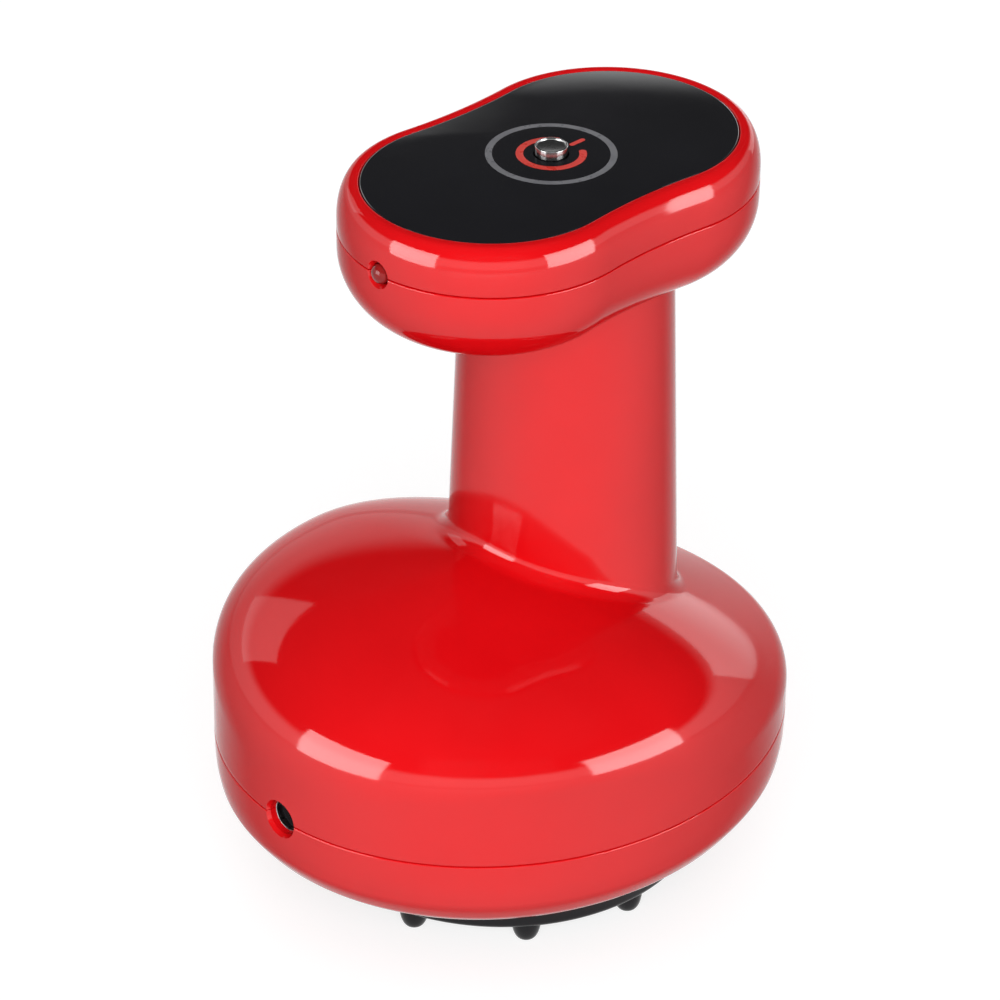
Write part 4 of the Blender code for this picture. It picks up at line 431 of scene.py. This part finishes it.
def base_ring(height, share=1.0, inset=0.0):
    """Points round the base at a height."""
    return level_ring(BASE_WIDTH / 2 * share - inset, BASE_LENGTH / 2 * share - inset, height)


def fullness(level, curve):
    return np.maximum(0.0, 1 - level ** curve[0]) ** (1 / curve[1])


def dome_height(x, y):
    """Heights of the dome's outer face over points in plan."""
    low, high = np.zeros_like(x), np.ones_like(x)
    for _ in range(BISECTIONS):
        level = (low + high) / 2
        centre = -APEX_SETBACK * level
        half = BASE_WIDTH / 2 * fullness(level, FLANK_CURVE)
        back = -APEX_SETBACK + (BASE_LENGTH / 2 + APEX_SETBACK) * fullness(level, BACK_CURVE)
        front = -APEX_SETBACK - (BASE_LENGTH / 2 - APEX_SETBACK) * fullness(level, FRONT_CURVE)
        reach = np.where(y > centre, back - centre, centre - front)
        inside = (x / np.maximum(half, 1e-9)) ** 2 + ((y - centre) / np.maximum(reach, 1e-9)) ** 2 < 1
        low, high = np.where(inside, level, low), np.where(inside, high, level)
    drop = (DOME_HEIGHT - SHOULDER_HEIGHT) * (1 - low)
    return DOME_HEIGHT - np.hypot(drop, APEX_ROUNDING)


def neck_radius(height):
    return NECK_TOP_RADIUS + (HEAD_BOTTOM - height) * math.tan(NECK_DRAFT)


def peanut():
    """Lobe radius, lobe centre, waist radius, waist centre and the angle where the arcs meet."""
    lobe, along = PANEL_WIDTH / 2, (PANEL_LENGTH - PANEL_WIDTH) / 2
    half = PANEL_WAIST / 2
    waist = (half ** 2 + along ** 2 - lobe ** 2) / (2 * (lobe - half))
    return lobe, along, waist, half + waist, math.atan2(along, half + waist)


def head_ring(offset, height):
    """Points round the head's peanut outline, offset outwards from the panel's edge."""
    lobe, along, waist, centre, meet = peanut()
    lobe_steps = AROUND * 3 // 8
    waist_steps = AROUND // 2 - lobe_steps
    lobe_angles = -meet + (math.pi + 2 * meet) * np.arange(lobe_steps) / lobe_steps
    waist_angles = meet - 2 * meet * np.arange(waist_steps) / waist_steps
    x = np.concatenate([(lobe + offset) * np.cos(lobe_angles),
                        (waist - offset) * np.cos(waist_angles) - centre])
    y = np.concatenate([along + (lobe + offset) * np.sin(lobe_angles),
                        (waist - offset) * np.sin(waist_angles)])
    x, y = np.concatenate([x, -x]), np.concatenate([y, -y])
    return np.stack([x, HEAD_SETBACK + y, np.full(len(x), height)], axis=1)


def pan_height(x, y):
    """Heights of the head's lower face over points in plan."""
    lobe, along, waist, centre, meet = peanut()
    x, y = np.abs(x), np.abs(y - HEAD_SETBACK)
    beside = (centre - x) * math.tan(meet) > y
    offset = np.where(beside, waist - np.hypot(centre - x, y), np.hypot(x, y - along) - lobe)
    reach = np.clip(1 - (HEAD_BULGE - offset) / BOTTOM_TURN_WIDTH, 0, 1)
    return HEAD_BOTTOM + BOTTOM_TURN_HEIGHT * (1 - np.sqrt(1 - reach ** 2))


def arc_points(first, corner, last, angle, steps):
    """Points of the arc that touches a corner's two sides at its first and last points."""
    weight = math.sin(angle / 2)
    t = np.linspace(0, 1, steps + 1)[:, None]
    shares = ((1 - t) ** 2, 2 * t * (1 - t) * weight, t ** 2)
    return (first * shares[0] + corner * shares[1] + last * shares[2]) / sum(shares)


def even(points, steps):
    """Points at even steps along a line of points, without its last one."""
    lengths = np.concatenate([[0], np.cumsum(np.linalg.norm(np.diff(points, axis=0), axis=1))])
    wanted = lengths[-1] * np.arange(steps) / steps
    return np.stack([np.interp(wanted, lengths, points[:, axis]) for axis in (0, 1)], axis=1)


def neck_foot(over):
    """Height and distance at which the neck meets the dome, in each column."""
    foot = np.full(AROUND, DOME_HEIGHT)
    for _ in range(BISECTIONS):
        foot = (foot + over(neck_radius(foot))) / 2
    return foot, neck_radius(foot)


def shoulder_line(line, reach):
    """A column's points from the seam over the rounded shoulder to the neck's fillet, at even steps."""
    shoulder = np.array([reach, SHOULDER_HEIGHT])
    far = np.linalg.norm(line - shoulder, axis=1)
    near = np.array([np.interp(SHOULDER_FILLET / 8, far, line[:, axis]) for axis in (0, 1)])
    turn = math.atan2(shoulder[0] - near[0], near[1] - shoulder[1])
    side = SHOULDER_FILLET * math.tan(turn / 2)
    start = np.array([np.interp(side, far, line[:, axis]) for axis in (0, 1)])
    arc = arc_points(shoulder - (0, side), shoulder, start, math.pi - turn, SHOULDER_STEPS)
    seam = np.array([[reach, SEAM_HEIGHT + SEAM_GAP / 2 + SEAM_ROUND]])
    return even(np.concatenate([seam, arc, line[far > side]]), ROWS)


def seam_edge(reach):
    """A column's points round the cover's edge at the seam."""
    height = SEAM_HEIGHT + SEAM_GAP / 2 + SEAM_ROUND
    return np.array([[reach - SEAM_ROUND * (1 - math.sin(a)), height - SEAM_ROUND * math.cos(a)]
                     for a in quarter(4)[:-1]])


def neck_line(bottom, way):
    """A column's points up the neck into the pan of the head."""
    top = float(pan_height(way[:, 0] * NECK_TOP_RADIUS, NECK_SETBACK + way[:, 1] * NECK_TOP_RADIUS)[0])
    rise = np.linspace(bottom, top + NECK_OVERLAP, NECK_ROWS + 1)[1:]
    return np.stack([neck_radius(rise), rise], axis=1)


def body_columns():
    """Points of the outer face from the seam up the dome and the neck, one column for each rim point."""
    out = base_ring(SEAM_HEIGHT)[:, :2] - np.array([0, NECK_SETBACK])
    reach = np.linalg.norm(out, axis=1)
    way = out / reach[:, None]

    def over(distance):
        return dome_height(way[:, 0] * distance, NECK_SETBACK + way[:, 1] * distance)

    foot, foot_reach = neck_foot(over)
    slope = np.arctan2(over(foot_reach + FOOT_FILLET) - foot, FOOT_FILLET)
    corner = math.pi / 2 - slope
    tangent = FOOT_FILLET * np.tan((math.pi - corner) / 2)
    low_reach = foot_reach + tangent * np.cos(slope)
    low_height = over(low_reach)
    shares = (np.arange(1, DOME_SAMPLES + 1) / DOME_SAMPLES) ** 3
    distances = reach[:, None] - (reach - low_reach)[:, None] * shares[None, :]
    heights = dome_height(way[:, :1] * distances, NECK_SETBACK + way[:, 1:] * distances)
    columns = []
    for index in range(AROUND):
        line = np.stack([distances[index], heights[index]], axis=1)
        end = foot[index] + tangent[index]
        fillet = arc_points(
            np.array([low_reach[index], low_height[index]]), np.array([foot_reach[index], foot[index]]),
            np.array([neck_radius(end), end]), corner[index], FOOT_STEPS,
        )
        profile = np.concatenate([
            seam_edge(reach[index]), shoulder_line(line, reach[index]), fillet,
            neck_line(fillet[-1, 1], way[index:index + 1]),
        ])
        columns.append(np.stack([
            way[index, 0] * profile[:, 0], NECK_SETBACK + way[index, 1] * profile[:, 0], profile[:, 1],
        ], axis=1))
    return np.array(columns)


def inner_face(grid):
    """A grid's points moved in by the wall along the surface's own normals, (column, row, 3)."""
    along = np.roll(grid, -1, axis=0) - np.roll(grid, 1, axis=0)
    up = np.gradient(grid, axis=1)
    normal = np.cross(along, up)
    normal /= np.linalg.norm(normal, axis=2)[:, :, None]
    return grid - normal * WALL


# Housing

def hole_cutter(name, front, hole, sink):
    """A round hole into the front, sunk at the outer face with a small round at its lip."""
    profile = [(0, OVERCUT), (sink + (sink - hole) / SINK_DEPTH * OVERCUT, OVERCUT),
               (sink + LIP_WIDTH, LIP_HEIGHT), (hole, -SINK_DEPTH), (hole, -HOLE_DEPTH), (0, -HOLE_DEPTH)]
    return turned(name, profile, None, front, -ALONG_Y, 96)


def socket_cutter():
    return hole_cutter("socket_cutter", (0, -BASE_LENGTH / 2, SEAM_HEIGHT), JACK_HOLE, JACK_SINK)


def lamp_cutter():
    front = (0, HEAD_SETBACK - PANEL_LENGTH / 2 - HEAD_BULGE, HEAD_SEAM)
    return hole_cutter("lamp_cutter", front, LAMP_HOLE, LAMP_SINK)


def body_shell():
    """Dome and neck in one moulding."""
    grid = body_columns()
    inside = inner_face(grid)
    rings = [grid[:, row] for row in range(grid.shape[1])]
    rings += [inside[:, row] for row in range(grid.shape[1] - 1, INNER_ROWS_LEFT_OUT, -1)]
    rings.append(base_ring(SEAM_HEIGHT + SEAM_GAP / 2, 1.0, WALL))
    shell = loft("body_shell", rings, RED, "meet", 30)
    carve(shell, socket_cutter())
    return place_piece(shell, "housing", "red_shell", "body_cover")


def base_shell():
    """Lower ring and floor of the base, with the recess of the plate."""
    top = SEAM_HEIGHT - SEAM_GAP / 2
    rise = top - SEAM_ROUND - UNDERSIDE
    rings = [base_ring(top - SEAM_ROUND * (1 - math.sin(a)), 1.0, SEAM_ROUND * (1 - math.cos(a)))
             for a in reversed(quarter(4))]
    for level in np.linspace(1.0, LOWEST_OUTER_LEVEL, OUTER_WALL_ROWS)[1:]:
        rings.append(base_ring(UNDERSIDE + level * rise, wall_share(level)))
    for angle in quarter(5)[1:]:
        rings.append(base_ring(UNDERSIDE + BASE_EDGE * (1 - math.sin(angle)), wall_share(0.0),
                               BASE_EDGE * (1 - math.cos(angle)) - RECESS_EDGE))
    recess, ledge = PLATE_RADIUS + GAP, PLATE_TOP + GAP
    for radius, height in ((recess + RECESS_EDGE, UNDERSIDE), (recess, UNDERSIDE + RECESS_EDGE),
                           (recess, ledge), (FLOOR_HOLE, ledge), (FLOOR_HOLE, FLOOR_TOP)):
        rings.append(level_ring(radius, radius, height))
    for level in np.linspace(LOWEST_INNER_LEVEL, 1.0, INNER_WALL_ROWS):
        rings.append(base_ring(max(UNDERSIDE + level * rise, FLOOR_TOP), wall_share(level), WALL))
    rings.append(base_ring(top, 1.0, WALL))
    shell = loft("base_shell", rings, RED, "meet", 40)
    carve(shell, socket_cutter())
    return place_piece(shell, "housing", "red_shell", "base_lower_cover")


def pan_rings(inset, steps):
    """Outlines of the pan from its seam down to its floor, on its outer face or that far inside it."""
    widest = HEAD_BULGE - inset
    turn_start = HEAD_BOTTOM + BOTTOM_TURN_HEIGHT
    rings = []
    for angle in quarter(steps):
        offset = widest - (BOTTOM_TURN_WIDTH - inset) * (1 - math.cos(angle))
        rings.append(head_ring(offset, turn_start - (BOTTOM_TURN_HEIGHT - inset) * math.sin(angle)))
    return rings


def head_pan():
    """Pan of the head, under its seam."""
    top = HEAD_SEAM - SEAM_GAP / 2
    lip = [head_ring(HEAD_BULGE - SEAM_ROUND * (1 - math.cos(a)), top - SEAM_ROUND * (1 - math.sin(a)))
           for a in reversed(quarter(4))]
    outside = (lip + pan_rings(0.0, 28))[::-1]
    inside = [head_ring(HEAD_BULGE - WALL, top)] + pan_rings(WALL, 10)
    pan = loft("head_pan", outside + inside, RED, "caps", 30)
    carve(pan, lamp_cutter())
    return place_piece(pan, "housing", "red_shell", "head_lower_cover")


def head_rim():
    """Rim of the head, from the seam up to the panel's edge, with the ledge under the panel."""
    bottom = HEAD_SEAM + SEAM_GAP / 2
    section = [(HEAD_BULGE - SEAM_ROUND * (1 - math.sin(a)), bottom + SEAM_ROUND * (1 - math.cos(a)))
               for a in quarter(4)]
    turn_start = PANEL_HEIGHT - TOP_TURN_HEIGHT
    for angle in quarter(24):
        offset = HEAD_BULGE - (HEAD_BULGE - HEAD_RIM) * (1 - math.cos(angle))
        section.append((offset, turn_start + TOP_TURN_HEIGHT * math.sin(angle)))
    section += [(PANEL_CLEARANCE + PANEL_EDGE * (1 - math.sin(a)),
                 PANEL_HEIGHT - PANEL_EDGE * (1 - math.cos(a))) for a in quarter(4)]
    inside, ledge_bottom = HEAD_BULGE - WALL, LEDGE_HEIGHT - LEDGE_THICKNESS
    section += [(PANEL_CLEARANCE, LEDGE_HEIGHT), (-LEDGE_WIDTH, LEDGE_HEIGHT), (-LEDGE_WIDTH, ledge_bottom),
                (inside, ledge_bottom), (inside, bottom)]
    rim = loft("head_rim", [head_ring(offset, height) for offset, height in section], RED, "meet", 40)
    carve(rim, lamp_cutter())
    return place_piece(rim, "housing", "red_shell", "head_top_cover")


def panel_face():
    """Black panel with a rounded edge and the button's hole."""
    rings = [head_ring(0.0, PANEL_HEIGHT - PANEL_THICKNESS)]
    rings += [head_ring(-PANEL_EDGE * (1 - math.cos(a)), PANEL_HEIGHT - PANEL_EDGE * (1 - math.sin(a)))
              for a in quarter(4)]
    panel = loft("panel_face", rings, MATERIALS["black_panel"], "caps", 50)
    carve(panel, plug("button_cutter", BUTTON_RADIUS + BUTTON_CLEARANCE, -BUTTON_HOLE_DEPTH, OVERCUT,
                      (0, HEAD_SETBACK, PANEL_HEIGHT), 96))
    return place_piece(panel, "housing", "black_panel", "control_panel")


def printed(name, outline):
    """A thin red print on the panel, from its outline in plan."""
    rings = [[(x, HEAD_SETBACK + y, PANEL_HEIGHT + height) for x, y in outline]
             for height in (0.0, PRINT_THICKNESS)]
    place_piece(loft(name, rings, RED_PRINT, "caps"), "housing", "black_panel")


def plain_ring():
    """Plain grey ring printed round the power mark."""
    profile = [(RING_OUTER, 0.0), (RING_OUTER, PRINT_THICKNESS),
               (RING_INNER, PRINT_THICKNESS), (RING_INNER, 0.0)]
    ring = turned("panel_ring", profile, RING_PRINT, (0, HEAD_SETBACK, PANEL_HEIGHT), UP, PRINT_STEPS)
    place_piece(ring, "housing", "black_panel")


def arc_end(angle, way):
    """Points of the half circle that ends the power mark's arc."""
    middle, half = (ARC_INNER + ARC_OUTER) / 2, (ARC_OUTER - ARC_INNER) / 2
    steps = 12
    points = []
    for step in range(1, steps):
        turn = math.pi * step / steps
        beyond = half * math.sin(turn) * way
        radius = middle + half * math.cos(turn) * way
        points.append((radius * math.cos(angle) - beyond * math.sin(angle),
                       radius * math.sin(angle) + beyond * math.cos(angle)))
    return points


def power_mark():
    """Arc and bar of a generic power mark."""
    angles = math.pi / 2 + ARC_GAP + (2 * math.pi - 2 * ARC_GAP) * np.arange(PRINT_STEPS + 1) / PRINT_STEPS
    outline = [(ARC_OUTER * math.cos(a), ARC_OUTER * math.sin(a)) for a in angles]
    outline += arc_end(angles[-1], 1)
    outline += [(ARC_INNER * math.cos(a), ARC_INNER * math.sin(a)) for a in reversed(angles)]
    outline += arc_end(angles[0], -1)
    printed("power_arc", outline)
    half = BAR_HALF_WIDTH
    outline = [(half * math.cos(a), BAR_HIGH - half + half * math.sin(a))
               for a in np.linspace(0, math.pi, 13)]
    outline += [(half * math.cos(a), BAR_LOW + half + half * math.sin(a))
                for a in np.linspace(math.pi, 2 * math.pi, 13)]
    printed("power_bar", outline)


# Button, lamp and socket

def button_cap():
    """Turned metal button with straight sides, a thin bright rim and a dished top."""
    top, rim, rings = BUTTON_TOP, BUTTON_RADIUS - BUTTON_RIM, 14
    profile = [(0, top - BUTTON_DISH)]
    for ring in range(1, rings + 1):
        radius = (rim - DISH_MARGIN) * ring / rings
        profile.append((radius, top - BUTTON_DISH * (1 - DISH_RISE * (radius / rim) ** 2)))
    profile += [(rim - DISH_LIP_WIDTH, top - DISH_LIP_DEPTH), (rim, top)]
    profile += [(BUTTON_RADIUS - BUTTON_EDGE * (1 - math.sin(a)), top - BUTTON_EDGE * (1 - math.cos(a)))
                for a in quarter(5)]
    profile += [(BUTTON_RADIUS, FLANGE_TOP), (FLANGE_RADIUS, FLANGE_TOP), (FLANGE_RADIUS, FLANGE_BOTTOM),
                (STEM_RADIUS, FLANGE_BOTTOM), (STEM_RADIUS, STEM_BOTTOM), (0, STEM_BOTTOM)]
    cap = turned("button_cap", profile, MATERIALS["button_metal"], (0, HEAD_SETBACK, 0), UP, 128, 30)
    return place_piece(cap, "button", "button_metal", "power_button")


def lamp_dome():
    """Clear lamp with a round crown, on its flange inside the head."""
    low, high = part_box("indicator_led")
    tip, width = high.y - low.y + LAMP_FORWARD, LAMP_RADIUS + LAMP_WIDER
    flange, edge = LAMP_FLANGE_RADIUS, LAMP_FLANGE_EDGE
    profile = [(width * math.sin(a), tip - LAMP_CROWN * (1 - math.cos(a))) for a in quarter(12)]
    profile += [(width, LAMP_STEP_HIGH), (LAMP_RADIUS, LAMP_STEP_LOW), (LAMP_RADIUS, LAMP_FLANGE_HEIGHT),
                (flange, LAMP_FLANGE_HEIGHT - edge), (flange, edge), (flange - edge, 0), (0, 0)]
    lamp_piece = turned("lamp_dome", profile, MATERIALS["lamp_lens"], (0, high.y, HEAD_SEAM),
                        -ALONG_Y, 48, 40)
    return place_piece(lamp_piece, "housing", "lamp_lens", "indicator_led")


def socket_body():
    """Black socket with a plated sleeve at its mouth and a centre pin."""
    low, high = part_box("charging_jack")
    mouth = (0, low.y, SEAM_HEIGHT)
    shape = bmesh.new()
    for corner in bmesh.ops.create_cube(shape, size=1.0)["verts"]:
        corner.co = (low + high) / 2 + Vector(a * b for a, b in zip(corner.co, high - low))
    bmesh.ops.bevel(shape, geom=list(shape.edges), offset=JACK_EDGE, segments=3, affect="EDGES")
    body = add_mesh("socket_body", shape, MATERIALS["inner_black"], 40)
    carve(body, plug("socket_bore", JACK_BORE, -JACK_BORE_DEPTH, OVERCUT, mouth, SOCKET_SIDES, -ALONG_Y))
    place_piece(body, "housing", "inner_black", "charging_jack")
    sleeve = turned("socket_ring", [
        (SLEEVE_OUTER, SLEEVE_SEAT), (SLEEVE_OUTER, SLEEVE_REACH - SLEEVE_EDGE),
        (SLEEVE_OUTER - SLEEVE_EDGE, SLEEVE_REACH), (SLEEVE_INNER + SLEEVE_EDGE, SLEEVE_REACH),
        (SLEEVE_INNER, SLEEVE_REACH - SLEEVE_EDGE), (SLEEVE_INNER, SLEEVE_SEAT),
    ], MATERIALS["steel"], mouth, -ALONG_Y, SOCKET_SIDES)
    place_piece(sleeve, "housing", "steel")
    pin = [(PIN_RADIUS * math.sin(a), PIN_SHOULDER + PIN_CROWN * math.cos(a)) for a in quarter(6)]
    pin += [(PIN_RADIUS, PIN_END), (0, PIN_END)]
    place_piece(turned("socket_pin", pin, MATERIALS["inner_black"], mouth, -ALONG_Y, 48),
                "housing", "inner_black")


# Underside

def plate_disc():
    """Round plate with the recess of the suction cup, rounded at its outer edge and at its lips."""
    hole = LENS_RADIUS + GAP
    profile = [(PLATE_RADIUS - PLATE_TOP_EDGE, PLATE_TOP), (PLATE_RADIUS, PLATE_TOP - PLATE_TOP_EDGE)]
    profile += [(PLATE_RADIUS - PLATE_EDGE * (1 - math.cos(a)), NUB_REACH + PLATE_EDGE * (1 - math.sin(a)))
                for a in quarter(10)]
    profile += [(CUP_MOUTH + CUP_LIP * (1 - math.sin(a)), NUB_REACH + CUP_LIP * (1 - math.cos(a)))
                for a in quarter(8)]
    profile += [(CUP_INNER + CUP_LIP * math.cos(a), CEILING - CUP_LIP * (1 - math.sin(a)))
                for a in quarter(8)]
    profile += [(hole + LENS_HOLE_EDGE, CEILING), (hole, CEILING + LENS_HOLE_EDGE), (hole, PLATE_TOP)]
    plate = turned("plate_disc", profile, MATERIALS["black_plate"], sides=256)
    carve(plate, *[
        plug(f"pocket_{index}", NUB_RADIUS + NUB_CLEARANCE, NUB_REACH - OVERCUT, NUB_REACH + NUB_SEAT + GAP,
             place, 48)
        for index, place in enumerate(places_round(NUB_COUNT, NUB_CIRCLE))
    ])
    return place_piece(plate, "housing", "black_plate", "massage_plate")


def nubs():
    """Small domed nubs that stand in the plate."""
    top = NUB_REACH + NUB_SEAT
    profile = [(0, top), (NUB_RADIUS - NUB_EDGE, top), (NUB_RADIUS, top - NUB_EDGE)]
    profile += [(NUB_TIP + (NUB_RADIUS - NUB_TIP) * math.cos(a), NUB_REACH * (1 - math.sin(a)))
                for a in quarter(14)]
    profile.append((0, 0))
    for number, place in enumerate(places_round(NUB_COUNT, NUB_CIRCLE), 1):
        nub = turned(f"nub_{number:02d}", profile, MATERIALS["black_plate"], place, UP, 48, 50)
        place_piece(nub, "housing", "black_plate", f"massage_nub_{number:02d}")


def lens_and_filter():
    """Red lens ring in the ceiling of the cup and the holed filter cap in its well."""
    ledge, well = PLATE_TOP + GAP, FILTER_RADIUS + GAP
    profile = [
        (LENS_FLANGE, LENS_TOP), (LENS_FLANGE, ledge), (LENS_RADIUS, ledge),
        (LENS_RADIUS, CEILING + LENS_EDGE), (LENS_RADIUS - LENS_EDGE, CEILING),
        (well + LENS_EDGE, CEILING), (well, CEILING + LENS_EDGE),
        (well, WELL_TOP), (WELL_HOLE, WELL_TOP), (WELL_HOLE, LENS_TOP),
    ]
    lens = turned("lens_ring", profile, MATERIALS["light_lens"], sides=128)
    place_piece(lens, "housing", "light_lens", "light_lens")
    cap_top = CEILING + FILTER_THICKNESS
    profile = [(0, cap_top), (FILTER_RADIUS, cap_top), (FILTER_RADIUS, CEILING + FILTER_EDGE),
               (FILTER_RADIUS - FILTER_EDGE, CEILING), (0, CEILING)]
    cap = turned("filter_disc", profile, MATERIALS["grey_plastic"], sides=96)
    carve(cap, *[plug(f"vent_{index}", VENT_RADIUS, VENT_LOW, VENT_HIGH, place, 24)
                 for index, place in enumerate(places_round(VENT_COUNT, VENT_CIRCLE))])
    place_piece(cap, "housing", "grey_plastic", "filter_cap")


# Soft pieces inside

def bend_across(item, node):
    """The piece keeps its place, baked into its mesh, and stands for the node given."""
    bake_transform(item)
    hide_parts(node)


def diaphragm():
    """Dished rubber disc between the pump's rod and its rim, with a curved web."""
    low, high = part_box("pump_diaphragm")
    dish, rim = high.z - DIAPHRAGM_DISH, high.z - DIAPHRAGM_THICKNESS
    outer, edge = DIAPHRAGM_RADIUS, DIAPHRAGM_EDGE
    web = []
    for share in np.linspace(0, 1, 13):
        radius = ROD_DISC_RADIUS + (outer * 2 / 3 - ROD_DISC_RADIUS) * share
        web.append((radius, dish + DIAPHRAGM_DISH * share * share * (3 - 2 * share)))
    profile = [(0, dish)] + web
    profile += [(outer - edge, high.z), (outer, high.z - edge), (outer, rim + edge), (outer - edge, rim)]
    profile += [(radius, height - DIAPHRAGM_THICKNESS) for radius, height in reversed(web)]
    profile.append((0, dish - DIAPHRAGM_THICKNESS))
    x, y = (low.x + high.x) / 2, (low.y + high.y) / 2
    disc = turned("diaphragm_disc", profile, MATERIALS["rubber"], (x, y, 0), UP, 64)
    bend_across(disc, "pump_diaphragm")


def valve_coil():
    """Coil spring of round wire over the valve's plunger."""
    low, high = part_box("valve_spring")
    x, y = (low.x + high.x) / 2, (low.y + high.y) / 2
    wire, steps = SPRING_WIRE_RADIUS, SPRING_TURNS * SPRING_STEPS
    coil, rise = (high.x - low.x) / 2 - wire, high.z - low.z - 2 * wire
    round_wire = np.arange(SPRING_SIDES) * 2 * math.pi / SPRING_SIDES
    rings = []
    for step in range(steps + 1):
        angle = 2 * math.pi * step / SPRING_STEPS
        out = Vector((math.cos(angle), math.sin(angle), 0))
        centre = Vector((x, y, low.z + wire + rise * step / steps)) + out * coil
        rings.append([centre + (out * math.cos(a) + UP * math.sin(a)) * wire for a in round_wire])
    spring = loft("valve_coil", rings, MATERIALS["screw_steel"], "caps", 50)
    bend_across(spring, "valve_spring")


# Camera, floor and light

def camera():
    """The photo's camera."""
    azimuth, elevation, roll = (math.radians(a) for a in (CAMERA_AZIMUTH, CAMERA_ELEVATION, CAMERA_ROLL))
    forward = Vector((-math.sin(azimuth) * math.cos(elevation), math.cos(azimuth) * math.cos(elevation),
                      -math.sin(elevation)))
    level = forward.cross(UP).normalized()
    side = level * math.cos(roll) + level.cross(forward) * math.sin(roll)
    above = side.cross(forward)
    data = bpy.data.cameras.new("camera")
    data.lens, data.sensor_width = CAMERA_LENS, CAMERA_SENSOR
    data.clip_start, data.clip_end = 0.01, 50
    item = bpy.data.objects.new("camera", data)
    bpy.context.scene.collection.objects.link(item)
    place = Matrix((side, above, -forward)).transposed().to_4x4()
    place.translation = CAMERA_TARGET - forward * CAMERA_DISTANCE
    item.matrix_world = place
    bpy.context.scene.camera = item


def seen_directly(tree):
    """1 for what the camera sees, also in gloss or through glass, and 0 for light that falls on things."""
    path = tree.nodes.new("ShaderNodeLightPath")
    value = path.outputs["Is Camera Ray"]
    for kind in ("Is Glossy Ray", "Is Transmission Ray"):
        most = tree.nodes.new("ShaderNodeMath")
        most.operation = "MAXIMUM"
        tree.links.new(value, most.inputs[0])
        tree.links.new(path.outputs[kind], most.inputs[1])
        value = most.outputs[0]
    return value


def floor():
    """Pale floor that keeps the massager's shadow, lifted to white where it is seen."""
    shape = bmesh.new()
    bmesh.ops.create_grid(shape, x_segments=8, y_segments=8, size=FLOOR_HALF_SIZE)
    material, tree, shader, coords = shader_of("floor_pale")
    tree.links.new(ramp(tree, noise(tree, coords, 3.0), (0.31, 0.31, 0.31), (0.33, 0.33, 0.33)),
                   shader.inputs["Base Color"])
    shader.inputs["Roughness"].default_value = 0.9
    shader.inputs["Specular IOR Level"].default_value = 0.1
    shader.inputs["Emission Color"].default_value = (1, 1, 1, 1)
    lift = tree.nodes.new("ShaderNodeMath")
    lift.operation = "MULTIPLY"
    lift.inputs[1].default_value = FLOOR_LIFT
    tree.links.new(seen_directly(tree), lift.inputs[0])
    tree.links.new(lift.outputs[0], shader.inputs["Emission Strength"])
    add_mesh("floor", shape, material)


def from_the_side(azimuth, elevation):
    """Direction from the massager to a place at an azimuth from the front and an elevation, in degrees."""
    azimuth, elevation = math.radians(azimuth), math.radians(elevation)
    return Vector((math.sin(azimuth) * math.cos(elevation), -math.cos(azimuth) * math.cos(elevation),
                   math.sin(elevation)))


def lamp(name, kind, azimuth, elevation):
    """A lamp that looks at the massager from one side."""
    data = bpy.data.lights.new(name, kind)
    item = bpy.data.objects.new(name, data)
    bpy.context.scene.collection.objects.link(item)
    back = from_the_side(azimuth, elevation)
    item.location = LAMP_CENTRE + back * LAMP_DISTANCE
    item.rotation_mode = "QUATERNION"
    item.rotation_quaternion = back.to_track_quat("Z", "Y")
    return item


def softbox(name, azimuth, elevation, width, height, radiance, shows):
    """A rectangular soft lamp. It either shows in gloss or lights what faces it."""
    item = lamp(name, "AREA", azimuth, elevation)
    item.data.shape, item.data.size, item.data.size_y = "RECTANGLE", width, height
    item.data.energy = math.pi * width * height * radiance
    item.visible_glossy, item.visible_diffuse = shows, not shows


def overhead():
    """Even soft light from above, too wide and faint to show as a highlight."""
    item = lamp("overhead", "SUN", OVERHEAD_AZIMUTH, OVERHEAD_ELEVATION)
    item.data.energy, item.data.angle = OVERHEAD_ENERGY, math.radians(OVERHEAD_ANGLE)
    item.visible_glossy = False


def world():
    """Surroundings that are white round the horizon and dim above, as in a studio with a low backdrop."""
    data = bpy.data.worlds.new("studio")
    bpy.context.scene.world = data
    data.use_nodes = True
    tree = data.node_tree
    coords, split = tree.nodes.new("ShaderNodeTexCoord"), tree.nodes.new("ShaderNodeSeparateXYZ")
    fade = tree.nodes.new("ShaderNodeMapRange")
    fade.interpolation_type = "SMOOTHSTEP"
    fade.inputs["From Min"].default_value = math.sin(math.radians(HORIZON_TOP))
    fade.inputs["From Max"].default_value = math.sin(math.radians(SKY_BOTTOM))
    fade.inputs["To Min"].default_value = HORIZON_STRENGTH
    fade.inputs["To Max"].default_value = SKY_STRENGTH
    tree.links.new(coords.outputs["Generated"], split.inputs["Vector"])
    tree.links.new(split.outputs["Z"], fade.inputs["Value"])
    share, strength = tree.nodes.new("ShaderNodeMapRange"), tree.nodes.new("ShaderNodeMath")
    share.inputs["To Min"].default_value, share.inputs["To Max"].default_value = WORLD_FILL, 1.0
    strength.operation = "MULTIPLY"
    tree.links.new(seen_directly(tree), share.inputs["Value"])
    tree.links.new(share.outputs["Result"], strength.inputs[0])
    tree.links.new(fade.outputs["Result"], strength.inputs[1])
    tree.links.new(strength.outputs[0], tree.nodes["Background"].inputs["Strength"])
    tree.nodes["Background"].inputs["Color"].default_value = (1, 1, 1, 1)


camera()
body_shell()
base_shell()
head_pan()
head_rim()
panel_face()
plain_ring()
power_mark()
button_cap()
lamp_dome()
socket_body()
plate_disc()
nubs()
lens_and_filter()
diaphragm()
valve_coil()
floor()
for row in SOFTBOXES:
    softbox(*row)
overhead()
world()
bpy.context.scene.view_settings.view_transform = "Standard"
